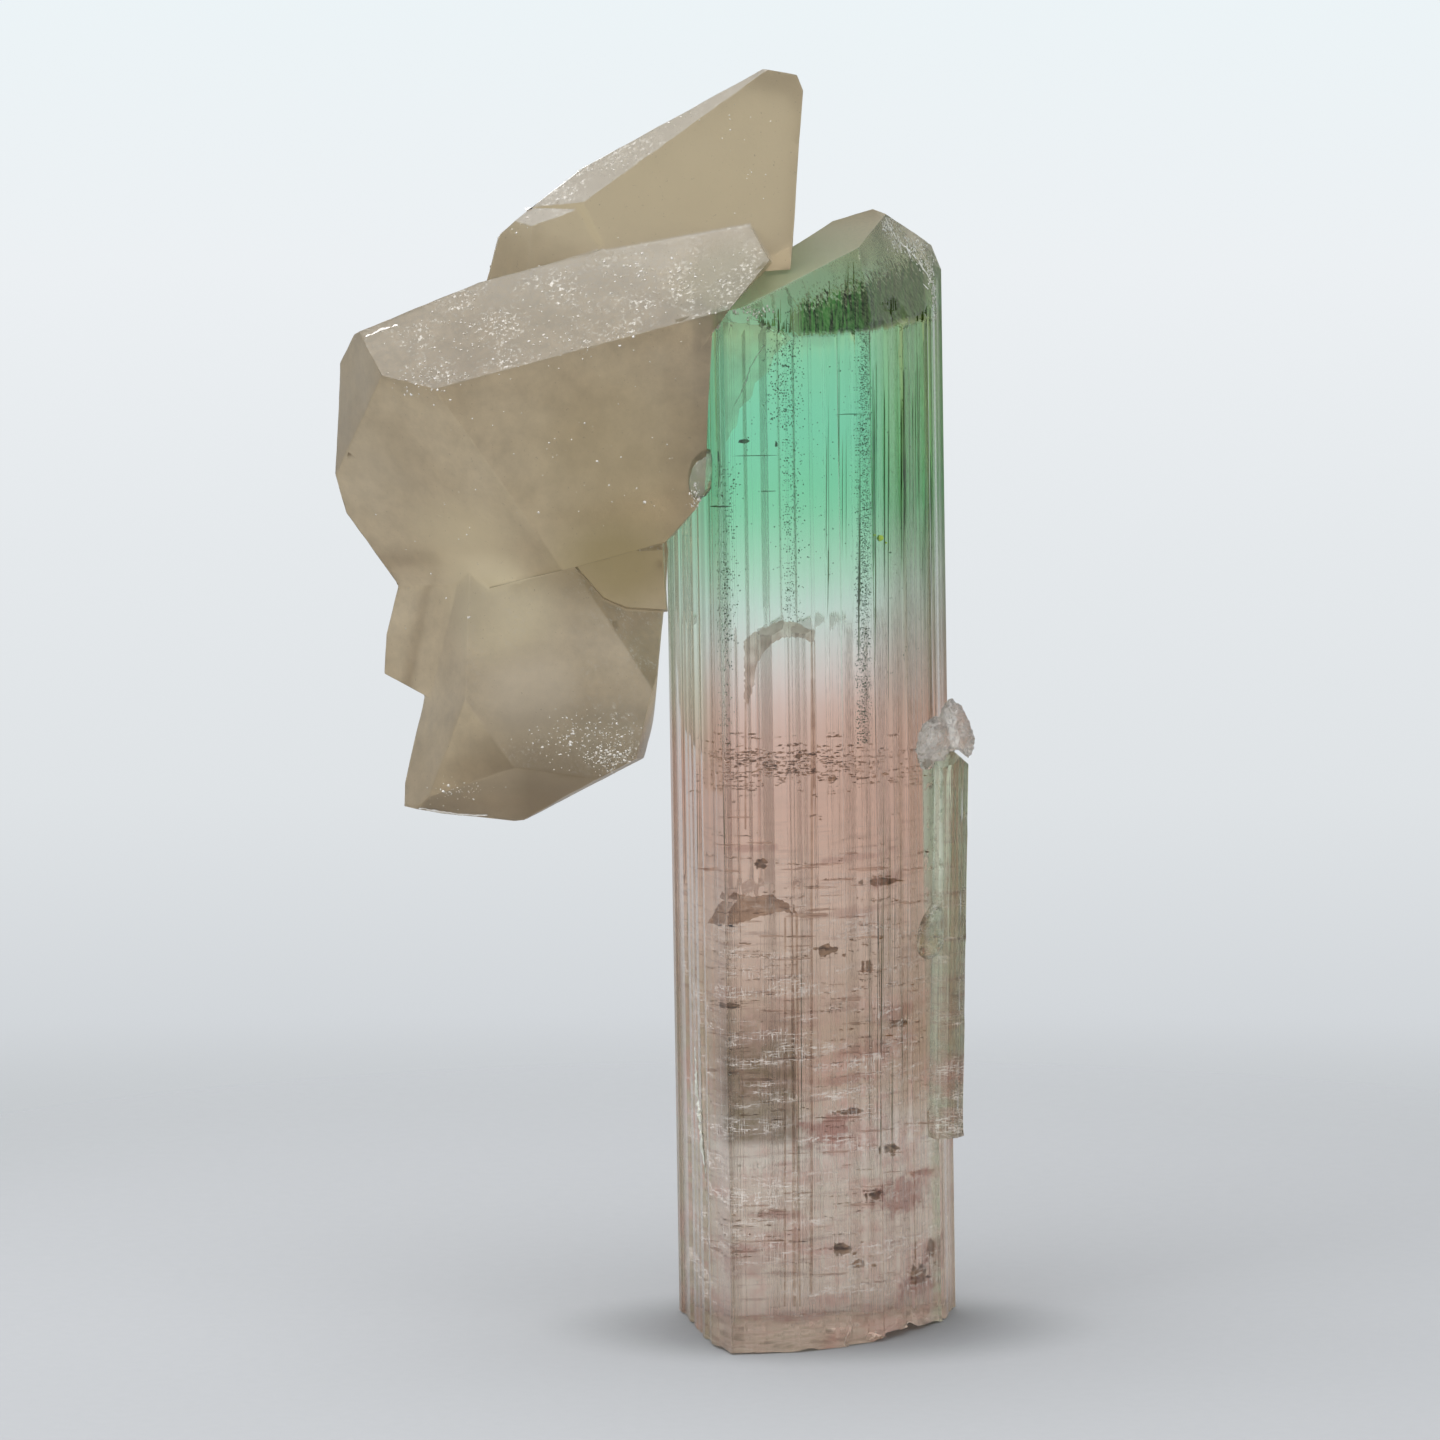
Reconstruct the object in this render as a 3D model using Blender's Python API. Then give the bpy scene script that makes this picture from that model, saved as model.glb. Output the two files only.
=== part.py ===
"""Smoky quartz crystals grown on the head of a two-coloured tourmaline prism.

The tourmaline is a ribbed column that stands on its broken foot and leans a little to the left.
Thinner prisms have grown along it, one on its right side and two up its back. The quartz is a
cluster of stubby crystals that clasp the column's upper left side, and a quartz bead sits on the
side prism. X points right, Y to the back and Z up. The origin is in the middle of the foot.

A crystal face is given as (bearing, pitch, distance). The bearing is the compass direction that
the face looks in, counter-clockwise from +X, and the pitch is how far it looks up or down, both in
degrees. The distance from the crystal's centre to the face is in millimetres, as all sizes are.
"""
import math

import bpy
import bmesh
from mathutils import Matrix, Vector

MM = 0.001

# Driving dimensions, in millimetres and degrees
CLEARANCE = 0.3
BLANK_SIZE = 90.0
WELD = 0.002

# The tourmaline's plan at the foot, corner by corner and counter-clockwise from above
PRISM_CORNERS = (
    (-8.5, -6.8), (-6.9, -10.2), (-1.5, -9.2), (1.7, -7.5), (5.4, -4.9), (10.0, 2.4),
    (11.1, 8.0), (8.2, 11.2), (0.5, 12.4), (-7.8, 11.0), (-11.1, 7.0),
)
PRISM_TOP = 100.0
PRISM_LEAN = 0.9
# The ribs are faint on the front sides, and deep on the sides that look right and back
RIB_PITCH = 1.3
RIB_DEPTHS = (0.14, 0.10, 0.16, 0.32, 0.36, 0.30, 0.20, 0.34, 0.34, 0.20, 0.24)
THIN_PRISM_RIB_DEPTH = 0.08
RIB_LAND = 0.78
FIRST_RIB_START = 0.12

TERMINATION_CENTRE = (-1.0, 2.0, 42.0)
TERMINATION = {
    "left front": (284, 21, 24.1),
    "main front": (303, 38, 31.1),
    "crown": (250, 74, 43.8),
    "right front": (330, 30, 26.7),
    "right shoulder": (29, 58, 44.0),
    "right edge": (23, 54, 42.8),
    "left back": (163, 52, 36.2),
    "top back": (146, 68, 43.4),
    "back": (92, 50, 40.2),
}

# Prisms grown along the tourmaline: where each stands, half its plan size, its foot, head and lean
SIDE_PRISM = {"at": (9.9, 1.0), "half": (1.45, 1.5), "foot": 15.5, "head": 47.0, "lean": -0.7}
TALL_BACK_PRISM = {"at": (-3.1, 11.6), "half": (2.7, 1.9), "foot": 0.0, "head": 57.4, "lean": PRISM_LEAN}
LOW_BACK_PRISM = {"at": (-5.9, 10.9), "half": (3.6, 2.0), "foot": 0.0, "head": 36.3, "lean": PRISM_LEAN}
THIN_PRISM_SIDES = 9
THIN_PRISM_BULGE = 0.08
CAP_PITCH = 48
CAP_BEARINGS = (10, 130, 250)

# Breaks: a chip out of the foot's front edge, and shell-shaped bruises on the head's right side
FOOT_CHIP_AT = (4.1, -6.9, 0.1)
FOOT_CHIP_SIZE = (3.4, 2.4, 1.5)
FOOT_CHIP_TURN = 34
FOOT_CHIP_TILT = 24
BRUISES = (
    {"at": (9.3, 1.0, 88.4), "radius": 3.0},
    {"at": (7.6, -1.3, 83.2), "radius": 2.2},
    {"at": (10.9, 3.1, 78.6), "radius": 1.9},
)

# Rounded lumps: a knob on the side prism, the bead on its head, and the rough blob beside the bead
KNOB = {"at": (9.0, -0.9, 32.4), "half_size": (1.1, 0.9, 2.2), "turn": 8}
BEAD = {"at": (10.9, 1.2, 48.2), "half_size": (1.4, 1.5, 2.6), "turn": -12}
BLOB = {"at": (8.9, 0.4, 47.4), "half_size": (1.7, 1.6, 2.2), "turn": 18}
LUMP_DEPTH = 0.09
LUMP_WAVES = (3.1, 4.3, 2.7)

# The quartz crystals of the cluster
MAIN_QUARTZ = {
    "centre": (-21.0, 0.0, 74.0),
    "faces": {
        "front": (274, -8, 10.2),
        "upper front": (251, 53, 11.5),
        "upper back": (125, 64, 10.5),
        "back": (95, 10, 8.8),
        "lower back": (75, -47, 12.2),
        "underside": (335, -73, 11.9),
        "lower left": (236, -28, 11.2),
        "left tip": (203, 1, 16.1),
        "left side": (179, -13, 18.0),
        "left foot": (185, -35, 18.1),
        "left end": (177, 3, 17.1),
        "left shoulder": (168, 32, 16.2),
        "top left": (152, 64, 11.7),
        "right foot": (353, -28, 13.7),
        "lower right": (350, -42, 13.5),
        "right shoulder": (4, 30, 21.1),
    },
}
# The main crystal stops short of the column, except where its upper edge laps over the head. Each
# notch is what lies below that lap and beyond one of the faces that the crystal ends in.
LAP_FACE = (349, -36, 6.8)
MAIN_QUARTZ_END_FACES = {
    "right end": (0, 4, 13.6),
    "right front": (283, -8, 11.8),
}
UPPER_QUARTZ = {
    "centre": (-11.0, 5.0, 88.0),
    "faces": {
        "front": (265, 4, 8.0),
        "upper front": (223, 44, 9.9),
        "left front": (236, -11, 9.4),
        "left end": (176, 16, 13.6),
        "left shoulder": (165, 50, 8.5),
        "top left": (161, 60, 7.9),
        "top": (49, 73, 13.1),
        "right side": (0, -4, 8.9),
        "right shoulder": (6, 22, 12.9),
        "back": (80, 8, 7.8),
        "lower back": (110, -50, 8.9),
        "underside": (250, -78, 9.2),
    },
}
UPPER_LEFT_QUARTZ = {
    "centre": (-20.0, 5.0, 86.0),
    "faces": {
        "front": (261, 3, 6.7),
        "upper front": (230, 55, 6.5),
        "left front": (224, 6, 6.6),
        "left end": (176, 16, 5.5),
        "left shoulder": (165, 50, 4.5),
        "top left": (161, 60, 5.4),
        "back": (84, 6, 8.2),
        "lower back": (110, -50, 5.3),
        "underside": (250, -78, 6.6),
        "right end": (0, 0, 4.2),
    },
}
LOWER_QUARTZ = {
    "centre": (-22.0, 2.0, 54.0),
    "faces": {
        "front": (272, 15, 6.5),
        "lower left": (243, -7, 9.6),
        "left front": (209, 9, 8.5),
        "lower front": (262, -44, 11.5),
        "right front": (312, 32, 8.6),
        "right foot": (355, -13, 9.5),
        "lower right": (340, -60, 10.7),
        "left end": (176, 13, 8.4),
        "left foot": (179, 1, 10.8),
        "foot": (239, -78, 13.1),
        "foot left": (225, -76, 13.5),
        "foot right": (303, -78, 12.6),
        "right end": (359, -5, 9.3),
        "back": (88, -4, 6.8),
        "lower back": (85, -48, 9.6),
        "top": (0, 90, 11.7),
    },
}
LEFT_QUARTZ = {
    "centre": (-30.0, 4.0, 57.0),
    "faces": {
        "front": (231, 4, 3.7),
        "left shoulder": (175, 14, 3.9),
        "left end": (177, 3, 4.3),
        "foot": (196, -61, 6.1),
        "back": (85, -10, 3.2),
        "right end": (0, 0, 2.5),
        "top": (270, 60, 6.0),
    },
}
INNER_QUARTZ = {
    "centre": (-17.0, 0.0, 64.0),
    "faces": {
        "front": (274, -18, 6.5),
        "left front": (255, -23, 6.0),
        "lower left": (202, -64, 4.4),
        "underside": (256, -79, 5.5),
        "left foot": (189, -40, 3.2),
        "right end": (0, 3, 4.7),
        "back": (90, 0, 4.0),
        "top": (270, 60, 3.5),
    },
}


def clear_scene():
    """Remove whatever the scene holds."""
    for leftover in list(bpy.data.objects):
        bpy.data.objects.remove(leftover, do_unlink=True)


def new_collection(name):
    collection = bpy.data.collections.new(name)
    bpy.context.scene.collection.children.link(collection)
    return collection


def new_material(name, colour, roughness):
    """A plain mineral: its colour and how far its faces have dulled."""
    material = bpy.data.materials.new(name)
    material.use_nodes = True
    shader = material.node_tree.nodes["Principled BSDF"]
    shader.inputs["Base Color"].default_value = (*colour, 1.0)
    shader.inputs["Roughness"].default_value = roughness
    shader.inputs["Metallic"].default_value = 0.0
    material.diffuse_color = (*colour, 1.0)
    return material


def new_object(name, bm, collection, location=(0, 0, 0)):
    """Turn a bmesh built in millimetres into an object placed in metres."""
    bmesh.ops.recalc_face_normals(bm, faces=bm.faces)
    bmesh.ops.scale(bm, vec=(MM, MM, MM), verts=bm.verts)
    mesh = bpy.data.meshes.new(name)
    bm.to_mesh(mesh)
    bm.free()
    obj = bpy.data.objects.new(name, mesh)
    obj.location = Vector(location) * MM
    collection.objects.link(obj)
    return obj


def make_cutter(obj):
    """Keep a guide solid out of the finished model."""
    obj.hide_render = True
    obj.display_type = "WIRE"
    return obj


def face_normal(bearing, pitch):
    turn = math.radians(bearing)
    tilt = math.radians(pitch)
    return Vector((math.cos(tilt) * math.cos(turn), math.cos(tilt) * math.sin(turn), math.sin(tilt)))


def cleave(bm, centre, face, grow=0.0):
    """Cut away what lies outside one crystal face and close the cut."""
    bearing, pitch, distance = face
    normal = face_normal(bearing, pitch)
    everything = bm.verts[:] + bm.edges[:] + bm.faces[:]
    cut = bmesh.ops.bisect_plane(
        bm, geom=everything, dist=WELD, clear_outer=True,
        plane_co=Vector(centre) + normal * (distance + grow), plane_no=normal)
    rim = [piece for piece in cut["geom_cut"] if isinstance(piece, bmesh.types.BMEdge)]
    if rim:
        bmesh.ops.contextual_create(bm, geom=rim)


def opposite(face):
    """The same cut made from the other side."""
    bearing, pitch, distance = face
    return (bearing + 180, -pitch, -distance)


def new_crystal(name, crystal, collection):
    """A crystal cleaved face by face out of a cube."""
    bm = bmesh.new()
    bmesh.ops.create_cube(bm, size=BLANK_SIZE)
    for face in crystal["faces"].values():
        cleave(bm, (0, 0, 0), face)
    return new_object(name, bm, collection, crystal["centre"])


def outward(start, end):
    """Unit vector to the right of the way from start to end, which is out of the plan."""
    way = (end - start).normalized()
    return Vector((way.y, -way.x))


def widened(corners, grow):
    """The same plan with every side moved out by the given distance."""
    count = len(corners)
    moved = []
    for index, corner in enumerate(corners):
        before = outward(corners[index - 1], corner)
        after = outward(corner, corners[(index + 1) % count])
        bisector = (before + after).normalized()
        moved.append(corner + bisector * (grow / bisector.dot(before)))
    return moved


def ribbed(corners, rib_pitch, rib_depths):
    """The same plan with flat ribs along each side, cut in from it in steps of uneven depth."""
    points = []
    for index, (start, rib_depth) in enumerate(zip(corners, rib_depths)):
        end = corners[(index + 1) % len(corners)]
        inward = -outward(start, end)
        ribs = max(2, round((end - start).length / rib_pitch))
        points.append(start)
        for rib in range(ribs):
            depth = rib_depth * (0.5 + 0.5 * math.sin(2.4 * rib + 1.7 * index))
            near = FIRST_RIB_START if rib == 0 else 0.0
            for share in (near, RIB_LAND):
                points.append(start.lerp(end, (rib + share) / ribs) + inward * depth)
    return points


def column(plan, foot, head, lean):
    """A straight column on a closed plan, which leans to the left by so many degrees."""
    curve = bpy.data.curves.new("plan", "CURVE")
    curve.dimensions = "2D"
    curve.fill_mode = "BOTH"
    curve.extrude = (head - foot) / 2
    spline = curve.splines.new("POLY")
    spline.points.add(len(plan) - 1)
    for point, place in zip(spline.points, plan):
        point.co = (place.x, place.y, 0.0, 1.0)
    spline.use_cyclic_u = True
    guide = bpy.data.objects.new("plan", curve)
    bpy.context.scene.collection.objects.link(guide)
    evaluated = guide.evaluated_get(bpy.context.evaluated_depsgraph_get())
    mesh = bpy.data.meshes.new_from_object(evaluated)
    bm = bmesh.new()
    bm.from_mesh(mesh)
    bpy.data.meshes.remove(mesh)
    bpy.data.objects.remove(guide, do_unlink=True)
    bmesh.ops.remove_doubles(bm, verts=bm.verts, dist=WELD)
    bmesh.ops.translate(bm, vec=(0, 0, (foot + head) / 2), verts=bm.verts)
    slope = -math.tan(math.radians(lean))
    shear = Matrix(((1, 0, slope, 0), (0, 1, 0, 0), (0, 0, 1, 0), (0, 0, 0, 1)))
    bmesh.ops.transform(bm, matrix=shear, verts=bm.verts)
    return bm


def new_tourmaline_column(name, collection, grow=0.0):
    """The main prism with its termination. A grown one has no ribs and cuts the pieces that clasp it."""
    corners = [Vector(corner) for corner in PRISM_CORNERS]
    if grow:
        plan = widened(corners, grow)
        foot = -grow
    else:
        plan = ribbed(corners, RIB_PITCH, RIB_DEPTHS)
        foot = 0.0
    bm = column(plan, foot, PRISM_TOP, PRISM_LEAN)
    for face in TERMINATION.values():
        cleave(bm, TERMINATION_CENTRE, face, grow)
    return new_object(name, bm, collection)


def new_thin_prism(name, prism, collection, grow=0.0):
    """A thin prism beside the column, with a low three-sided cap."""
    middle = Vector(prism["at"])
    half_x, half_y = prism["half"]
    plan = []
    for side in range(THIN_PRISM_SIDES):
        turn = 2 * math.pi * side / THIN_PRISM_SIDES
        bulge = 1.0 + THIN_PRISM_BULGE * math.cos(3 * turn)
        reach = Vector(((half_x + grow) * math.cos(turn), (half_y + grow) * math.sin(turn)))
        plan.append(middle + reach * bulge)
    if not grow:
        plan = ribbed(plan, RIB_PITCH / 2, [THIN_PRISM_RIB_DEPTH] * THIN_PRISM_SIDES)
    bm = column(plan, prism["foot"] - grow, prism["head"] + grow, prism["lean"])
    shift = math.tan(math.radians(prism["lean"])) * prism["head"]
    peak = (middle.x - shift, middle.y, prism["head"])
    for bearing in CAP_BEARINGS:
        cleave(bm, peak, (bearing, CAP_PITCH, grow))
    return new_object(name, bm, collection)


def new_lump(name, lump, collection):
    """A rounded, knobbly grain: a sphere stretched and pushed in and out by a few soft waves."""
    bm = bmesh.new()
    bmesh.ops.create_icosphere(bm, subdivisions=3, radius=1.0)
    for vert in bm.verts:
        across, along, upward = (rate * reach for rate, reach in zip(LUMP_WAVES, vert.co))
        wave = math.sin(across + 1) * math.sin(upward) + math.sin(along + 2) / 2
        vert.co = vert.co * (1.0 + LUMP_DEPTH * wave)
    bmesh.ops.scale(bm, vec=lump["half_size"], verts=bm.verts)
    turn = Matrix.Rotation(math.radians(lump["turn"]), 3, "Y")
    bmesh.ops.rotate(bm, cent=(0, 0, 0), matrix=turn, verts=bm.verts)
    return new_object(name, bm, collection, lump["at"])


def new_scoop(name, bruise, collection):
    """A ball that takes one shell-shaped flake off an edge."""
    bm = bmesh.new()
    bmesh.ops.create_icosphere(bm, subdivisions=3, radius=bruise["radius"])
    return new_object(name, bm, collection, bruise["at"])


def combine(obj, operation, other):
    """Join another solid to the object, or cut it away."""
    modifier = obj.modifiers.new(other.name, "BOOLEAN")
    modifier.operation = operation
    modifier.solver = "EXACT"
    modifier.object = other


def build_tourmaline(parts, cutters):
    """The column, the thinner prisms and the knob that grew with it, less its chips."""
    tourmaline = new_tourmaline_column("tourmaline", parts)
    beside = {
        "side_prism": SIDE_PRISM,
        "tall_back_prism": TALL_BACK_PRISM,
        "low_back_prism": LOW_BACK_PRISM,
    }
    for name, prism in beside.items():
        combine(tourmaline, "UNION", make_cutter(new_thin_prism(name, prism, cutters)))
    combine(tourmaline, "UNION", make_cutter(new_lump("side_knob", KNOB, cutters)))

    bm = bmesh.new()
    bmesh.ops.create_cube(bm, size=1.0)
    bmesh.ops.scale(bm, vec=FOOT_CHIP_SIZE, verts=bm.verts)
    for angle, axis in ((FOOT_CHIP_TURN, "Z"), (FOOT_CHIP_TILT, "Y")):
        spin = Matrix.Rotation(math.radians(angle), 3, axis)
        bmesh.ops.rotate(bm, cent=(0, 0, 0), matrix=spin, verts=bm.verts)
    chip = make_cutter(new_object("foot_chip", bm, cutters, FOOT_CHIP_AT))
    combine(tourmaline, "DIFFERENCE", chip)
    for number, bruise in enumerate(BRUISES):
        scoop = make_cutter(new_scoop(f"bruise_{number}", bruise, cutters))
        combine(tourmaline, "DIFFERENCE", scoop)
    tourmaline.data.materials.append(new_material("tourmaline", (0.42, 0.60, 0.48), 0.12))
    return tourmaline


def build_smoky_quartz(parts, cutters, clasped):
    """The cluster: crystals grown into one another and moulded round the column."""
    quartz = new_crystal("smoky_quartz", MAIN_QUARTZ, parts)
    for name, face in MAIN_QUARTZ_END_FACES.items():
        beyond = {"end": opposite(face), "below the lap": opposite(LAP_FACE)}
        notch = {"centre": MAIN_QUARTZ["centre"], "faces": beyond}
        cutter = make_cutter(new_crystal("notch_" + name.replace(" ", "_"), notch, cutters))
        combine(quartz, "DIFFERENCE", cutter)
    others = {
        "upper_quartz": UPPER_QUARTZ,
        "upper_left_quartz": UPPER_LEFT_QUARTZ,
        "lower_quartz": LOWER_QUARTZ,
        "left_quartz": LEFT_QUARTZ,
        "inner_quartz": INNER_QUARTZ,
    }
    for name, crystal in others.items():
        combine(quartz, "UNION", make_cutter(new_crystal(name, crystal, cutters)))
    combine(quartz, "DIFFERENCE", clasped)
    quartz.data.materials.append(new_material("smoky_quartz", (0.48, 0.42, 0.33), 0.35))
    return quartz


def build_quartz_bead(parts, cutters, clasped):
    """The bead and its blob, moulded to the side prism and the column."""
    bead = new_lump("quartz_bead", BEAD, parts)
    combine(bead, "UNION", make_cutter(new_lump("bead_blob", BLOB, cutters)))
    combine(bead, "DIFFERENCE", clasped)
    side = make_cutter(new_thin_prism("side_prism_room", SIDE_PRISM, cutters, CLEARANCE))
    combine(bead, "DIFFERENCE", side)
    bead.data.materials.append(new_material("pale_quartz", (0.70, 0.72, 0.66), 0.3))
    return bead


def main():
    clear_scene()
    parts = new_collection("smoky_quartz_on_tourmaline")
    cutters = new_collection("cutters")
    clasped = make_cutter(new_tourmaline_column("column_room", cutters, CLEARANCE))
    build_tourmaline(parts, cutters)
    build_smoky_quartz(parts, cutters, clasped)
    build_quartz_bead(parts, cutters, clasped)


main()
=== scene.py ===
import math
import random

import bmesh
import bpy
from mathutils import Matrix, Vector, noise
from mathutils.bvhtree import BVHTree


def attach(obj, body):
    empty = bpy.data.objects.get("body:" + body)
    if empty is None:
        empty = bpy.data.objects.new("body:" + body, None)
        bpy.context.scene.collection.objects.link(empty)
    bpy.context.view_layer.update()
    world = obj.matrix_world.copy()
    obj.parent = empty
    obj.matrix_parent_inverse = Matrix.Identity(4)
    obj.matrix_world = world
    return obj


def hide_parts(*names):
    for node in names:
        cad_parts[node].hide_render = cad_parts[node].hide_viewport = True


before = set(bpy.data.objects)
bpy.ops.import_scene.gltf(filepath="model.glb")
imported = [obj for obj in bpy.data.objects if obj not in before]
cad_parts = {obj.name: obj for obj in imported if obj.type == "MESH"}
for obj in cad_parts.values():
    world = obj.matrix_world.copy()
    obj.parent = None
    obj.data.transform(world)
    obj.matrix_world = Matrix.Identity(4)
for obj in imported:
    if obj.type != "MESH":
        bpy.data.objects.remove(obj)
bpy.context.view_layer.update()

# ---------------------------------------------------------------------------------------------
# The stand: a pale card floor that fades into a pale grey sweep, inside a large soft light tent.
# The camera looks along the front from ten degrees above level, through a long lens.
# ---------------------------------------------------------------------------------------------
MM = 0.001
VIEW_ELEVATION = math.radians(10)
VIEW_CENTRE_X = -7.84 * MM
VIEW_CENTRE_UP = 48.66 * MM
FIELD_WIDTH = 115.2 * MM
CAMERA_DISTANCE = 1.5
SENSOR_WIDTH = 36.0

camera_data = bpy.data.cameras.new("camera")
camera_data.sensor_width = SENSOR_WIDTH
camera_data.lens = SENSOR_WIDTH * CAMERA_DISTANCE / FIELD_WIDTH
camera_data.clip_start = 0.05
camera_data.clip_end = 20.0
camera = bpy.data.objects.new("camera", camera_data)
bpy.context.scene.collection.objects.link(camera)
view_up = Vector((0, math.sin(VIEW_ELEVATION), math.cos(VIEW_ELEVATION)))
view_back = Vector((0, -math.cos(VIEW_ELEVATION), math.sin(VIEW_ELEVATION)))
camera.location = Vector((VIEW_CENTRE_X, 0, 0)) + view_up * VIEW_CENTRE_UP + view_back * CAMERA_DISTANCE
camera.rotation_euler = (math.pi / 2 - VIEW_ELEVATION, 0, 0)
bpy.context.scene.camera = camera
bpy.context.scene.view_settings.view_transform = "Standard"


def linear(hex_colour):
    """An sRGB colour such as "c6cacb" as the linear red, green, blue and alpha that shaders use."""
    channels = [int(hex_colour[i:i + 2], 16) / 255 for i in (0, 2, 4)]
    return (*[c / 12.92 if c <= 0.04045 else ((c + 0.055) / 1.055) ** 2.4 for c in channels], 1.0)


def add_node(tree, kind, inputs=None, stops=None, **settings):
    """Add one node to a tree with its settings, then set or link its inputs."""
    made = tree.nodes.new(kind)
    for name, value in settings.items():
        setattr(made, name, value)
    if stops:
        ramp = made.color_ramp
        while len(ramp.elements) < len(stops):
            ramp.elements.new(0.5)
        for element, (position, colour) in zip(ramp.elements, stops):
            element.position = position
            element.color = linear(colour)
    for name, value in (inputs or {}).items():
        if isinstance(value, bpy.types.NodeSocket):
            tree.links.new(value, made.inputs[name])
        else:
            made.inputs[name].default_value = value
    return made


def overlap(tree, *bands):
    """The share where bands overlap, which is the product of theirs. A band is a value, where it
    starts and where it is full. Its least and most share and its easing follow, where they aren't
    0, 1 and LINEAR. A share that is made already may stand for a band."""
    share = None
    for band in bands:
        if not isinstance(band, bpy.types.NodeSocket):
            value, start, full, *rest = band
            least, most, ease = rest + [0.0, 1.0, "LINEAR"][len(rest):]
            band = add_node(tree, "ShaderNodeMapRange", {
                "Value": value, "From Min": start, "From Max": full, "To Min": least, "To Max": most,
            }, interpolation_type=ease).outputs[0]
        share = band if share is None else add_node(
            tree, "ShaderNodeMath", {0: share, 1: band}, operation="MULTIPLY").outputs[0]
    return share


def near(tree, place, middle, start, full, most=1.0):
    """The share near a middle: it starts at one distance from it, and is full at a shorter one."""
    away = add_node(tree, "ShaderNodeVectorMath", {0: place, 1: middle}, operation="DISTANCE")
    return overlap(tree, (away.outputs["Value"], start, full, 0.0, most, "SMOOTHSTEP"))


def new_material(name):
    """A material with an empty tree, and the place on its piece in millimetres."""
    material = bpy.data.materials.new(name)
    material.use_nodes = True
    tree = material.node_tree
    tree.nodes.clear()
    place = add_node(tree, "ShaderNodeTexCoord")
    in_mm = add_node(tree, "ShaderNodeMapping", {
        "Vector": place.outputs["Object"], "Scale": (1 / MM, 1 / MM, 1 / MM),
    })
    return material, tree, in_mm.outputs[0]


def new_piece(name, bm, material, sharp_angle=22):
    """Turn a bmesh made in millimetres into a piece in metres, smooth except across its edges."""
    bmesh.ops.scale(bm, vec=(MM, MM, MM), verts=bm.verts)
    mesh = bpy.data.meshes.new(name)
    bm.to_mesh(mesh)
    bm.free()
    mesh.shade_smooth()
    mesh.set_sharp_from_angle(angle=math.radians(sharp_angle))
    mesh.materials.append(material)
    piece = bpy.data.objects.new(name, mesh)
    bpy.context.scene.collection.objects.link(piece)
    return piece


FLOOR_RADIUS = 260.0
FLOOR_DROP = 0.05
FLOOR_FADE = (65.0, 150.0)
# A painted shadow: the card's colour is darkened softly round the foot
CONTACT_SHADE = (9.5, 24.5)
CONTACT_DARKEST = 0.39

# Matt card: no reflection, only a painted shadow round the foot, and nothing where it fades away
floor_material, tree, mm = new_material("matt_card")
reach = add_node(tree, "ShaderNodeVectorMath", {0: mm}, operation="LENGTH")
fade = overlap(tree, (reach.outputs["Value"], *FLOOR_FADE, 0.0, 1.0, "SMOOTHERSTEP"))
grit = add_node(tree, "ShaderNodeTexNoise", {"Vector": mm, "Scale": 0.9, "Detail": 3.0})
card = add_node(tree, "ShaderNodeMix", {
    "Factor": grit.outputs["Fac"], 6: linear("b0b2b5"), 7: linear("b4b6b9"),
}, data_type="RGBA")
foot_place = add_node(tree, "ShaderNodeMapping", {
    "Vector": mm, "Location": (-0.3, -1.0, 0.0), "Scale": (1.0, 1.45, 1.0),
})
from_foot = add_node(tree, "ShaderNodeVectorMath", {0: foot_place.outputs[0]}, operation="LENGTH")
# The shadow round the foot is painted into the card's colour
painted_foot_shadow = overlap(tree, (from_foot.outputs["Value"], *CONTACT_SHADE, CONTACT_DARKEST, 0.0, "SMOOTHSTEP"))
card_with_painted_shadow = add_node(tree, "ShaderNodeMix", {
    "Factor": painted_foot_shadow, 6: card.outputs[2], 7: linear("2c2f31"),
}, data_type="RGBA")
paint = add_node(tree, "ShaderNodeBsdfPrincipled", {
    "Base Color": card_with_painted_shadow.outputs[2], "Roughness": 0.8, "Specular IOR Level": 0.2,
})
clear = add_node(tree, "ShaderNodeBsdfTransparent")
blend = add_node(tree, "ShaderNodeMixShader", {0: fade, 1: paint.outputs[0], 2: clear.outputs[0]})
add_node(tree, "ShaderNodeOutputMaterial", {"Surface": blend.outputs[0]})

bm = bmesh.new()
bmesh.ops.create_circle(bm, cap_ends=True, segments=96, radius=FLOOR_RADIUS)
floor = new_piece("floor", bm, floor_material)
floor.location.z = -FLOOR_DROP * MM

# The sweep fills a narrow fan of angles below level, and the tent is all the rest
SWEEP_ANGLES = (12.3, 7.7)
# Two cards, one high on the right and one behind it, keep the light off the head of the prism
CARDS = (((0.65, 0.0, 0.76), 0.5), ((0.6, 0.745, 0.306), 0.36))

world = bpy.data.worlds.new("light_tent")
bpy.context.scene.world = world
world.use_nodes = True
tree = world.node_tree
tree.nodes.clear()
direction = add_node(tree, "ShaderNodeTexCoord").outputs["Generated"]
way = add_node(tree, "ShaderNodeSeparateXYZ", {0: direction})
height = way.outputs["Z"]
sideways = add_node(tree, "ShaderNodeMath", {0: way.outputs["X"]}, operation="ABSOLUTE")
sweep_height = overlap(tree, (height, *[-math.sin(math.radians(angle)) for angle in SWEEP_ANGLES]))
sweep = add_node(tree, "ShaderNodeValToRGB", {0: sweep_height}, stops=[
    (0.0, "cdd0d4"), (0.20, "bbbfc1"), (0.30, "d2d6da"), (0.45, "dfe3e6"), (0.62, "e5e9ec"),
    (0.80, "ecf0f3"), (1.0, "ecf4f7"),
])
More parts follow.
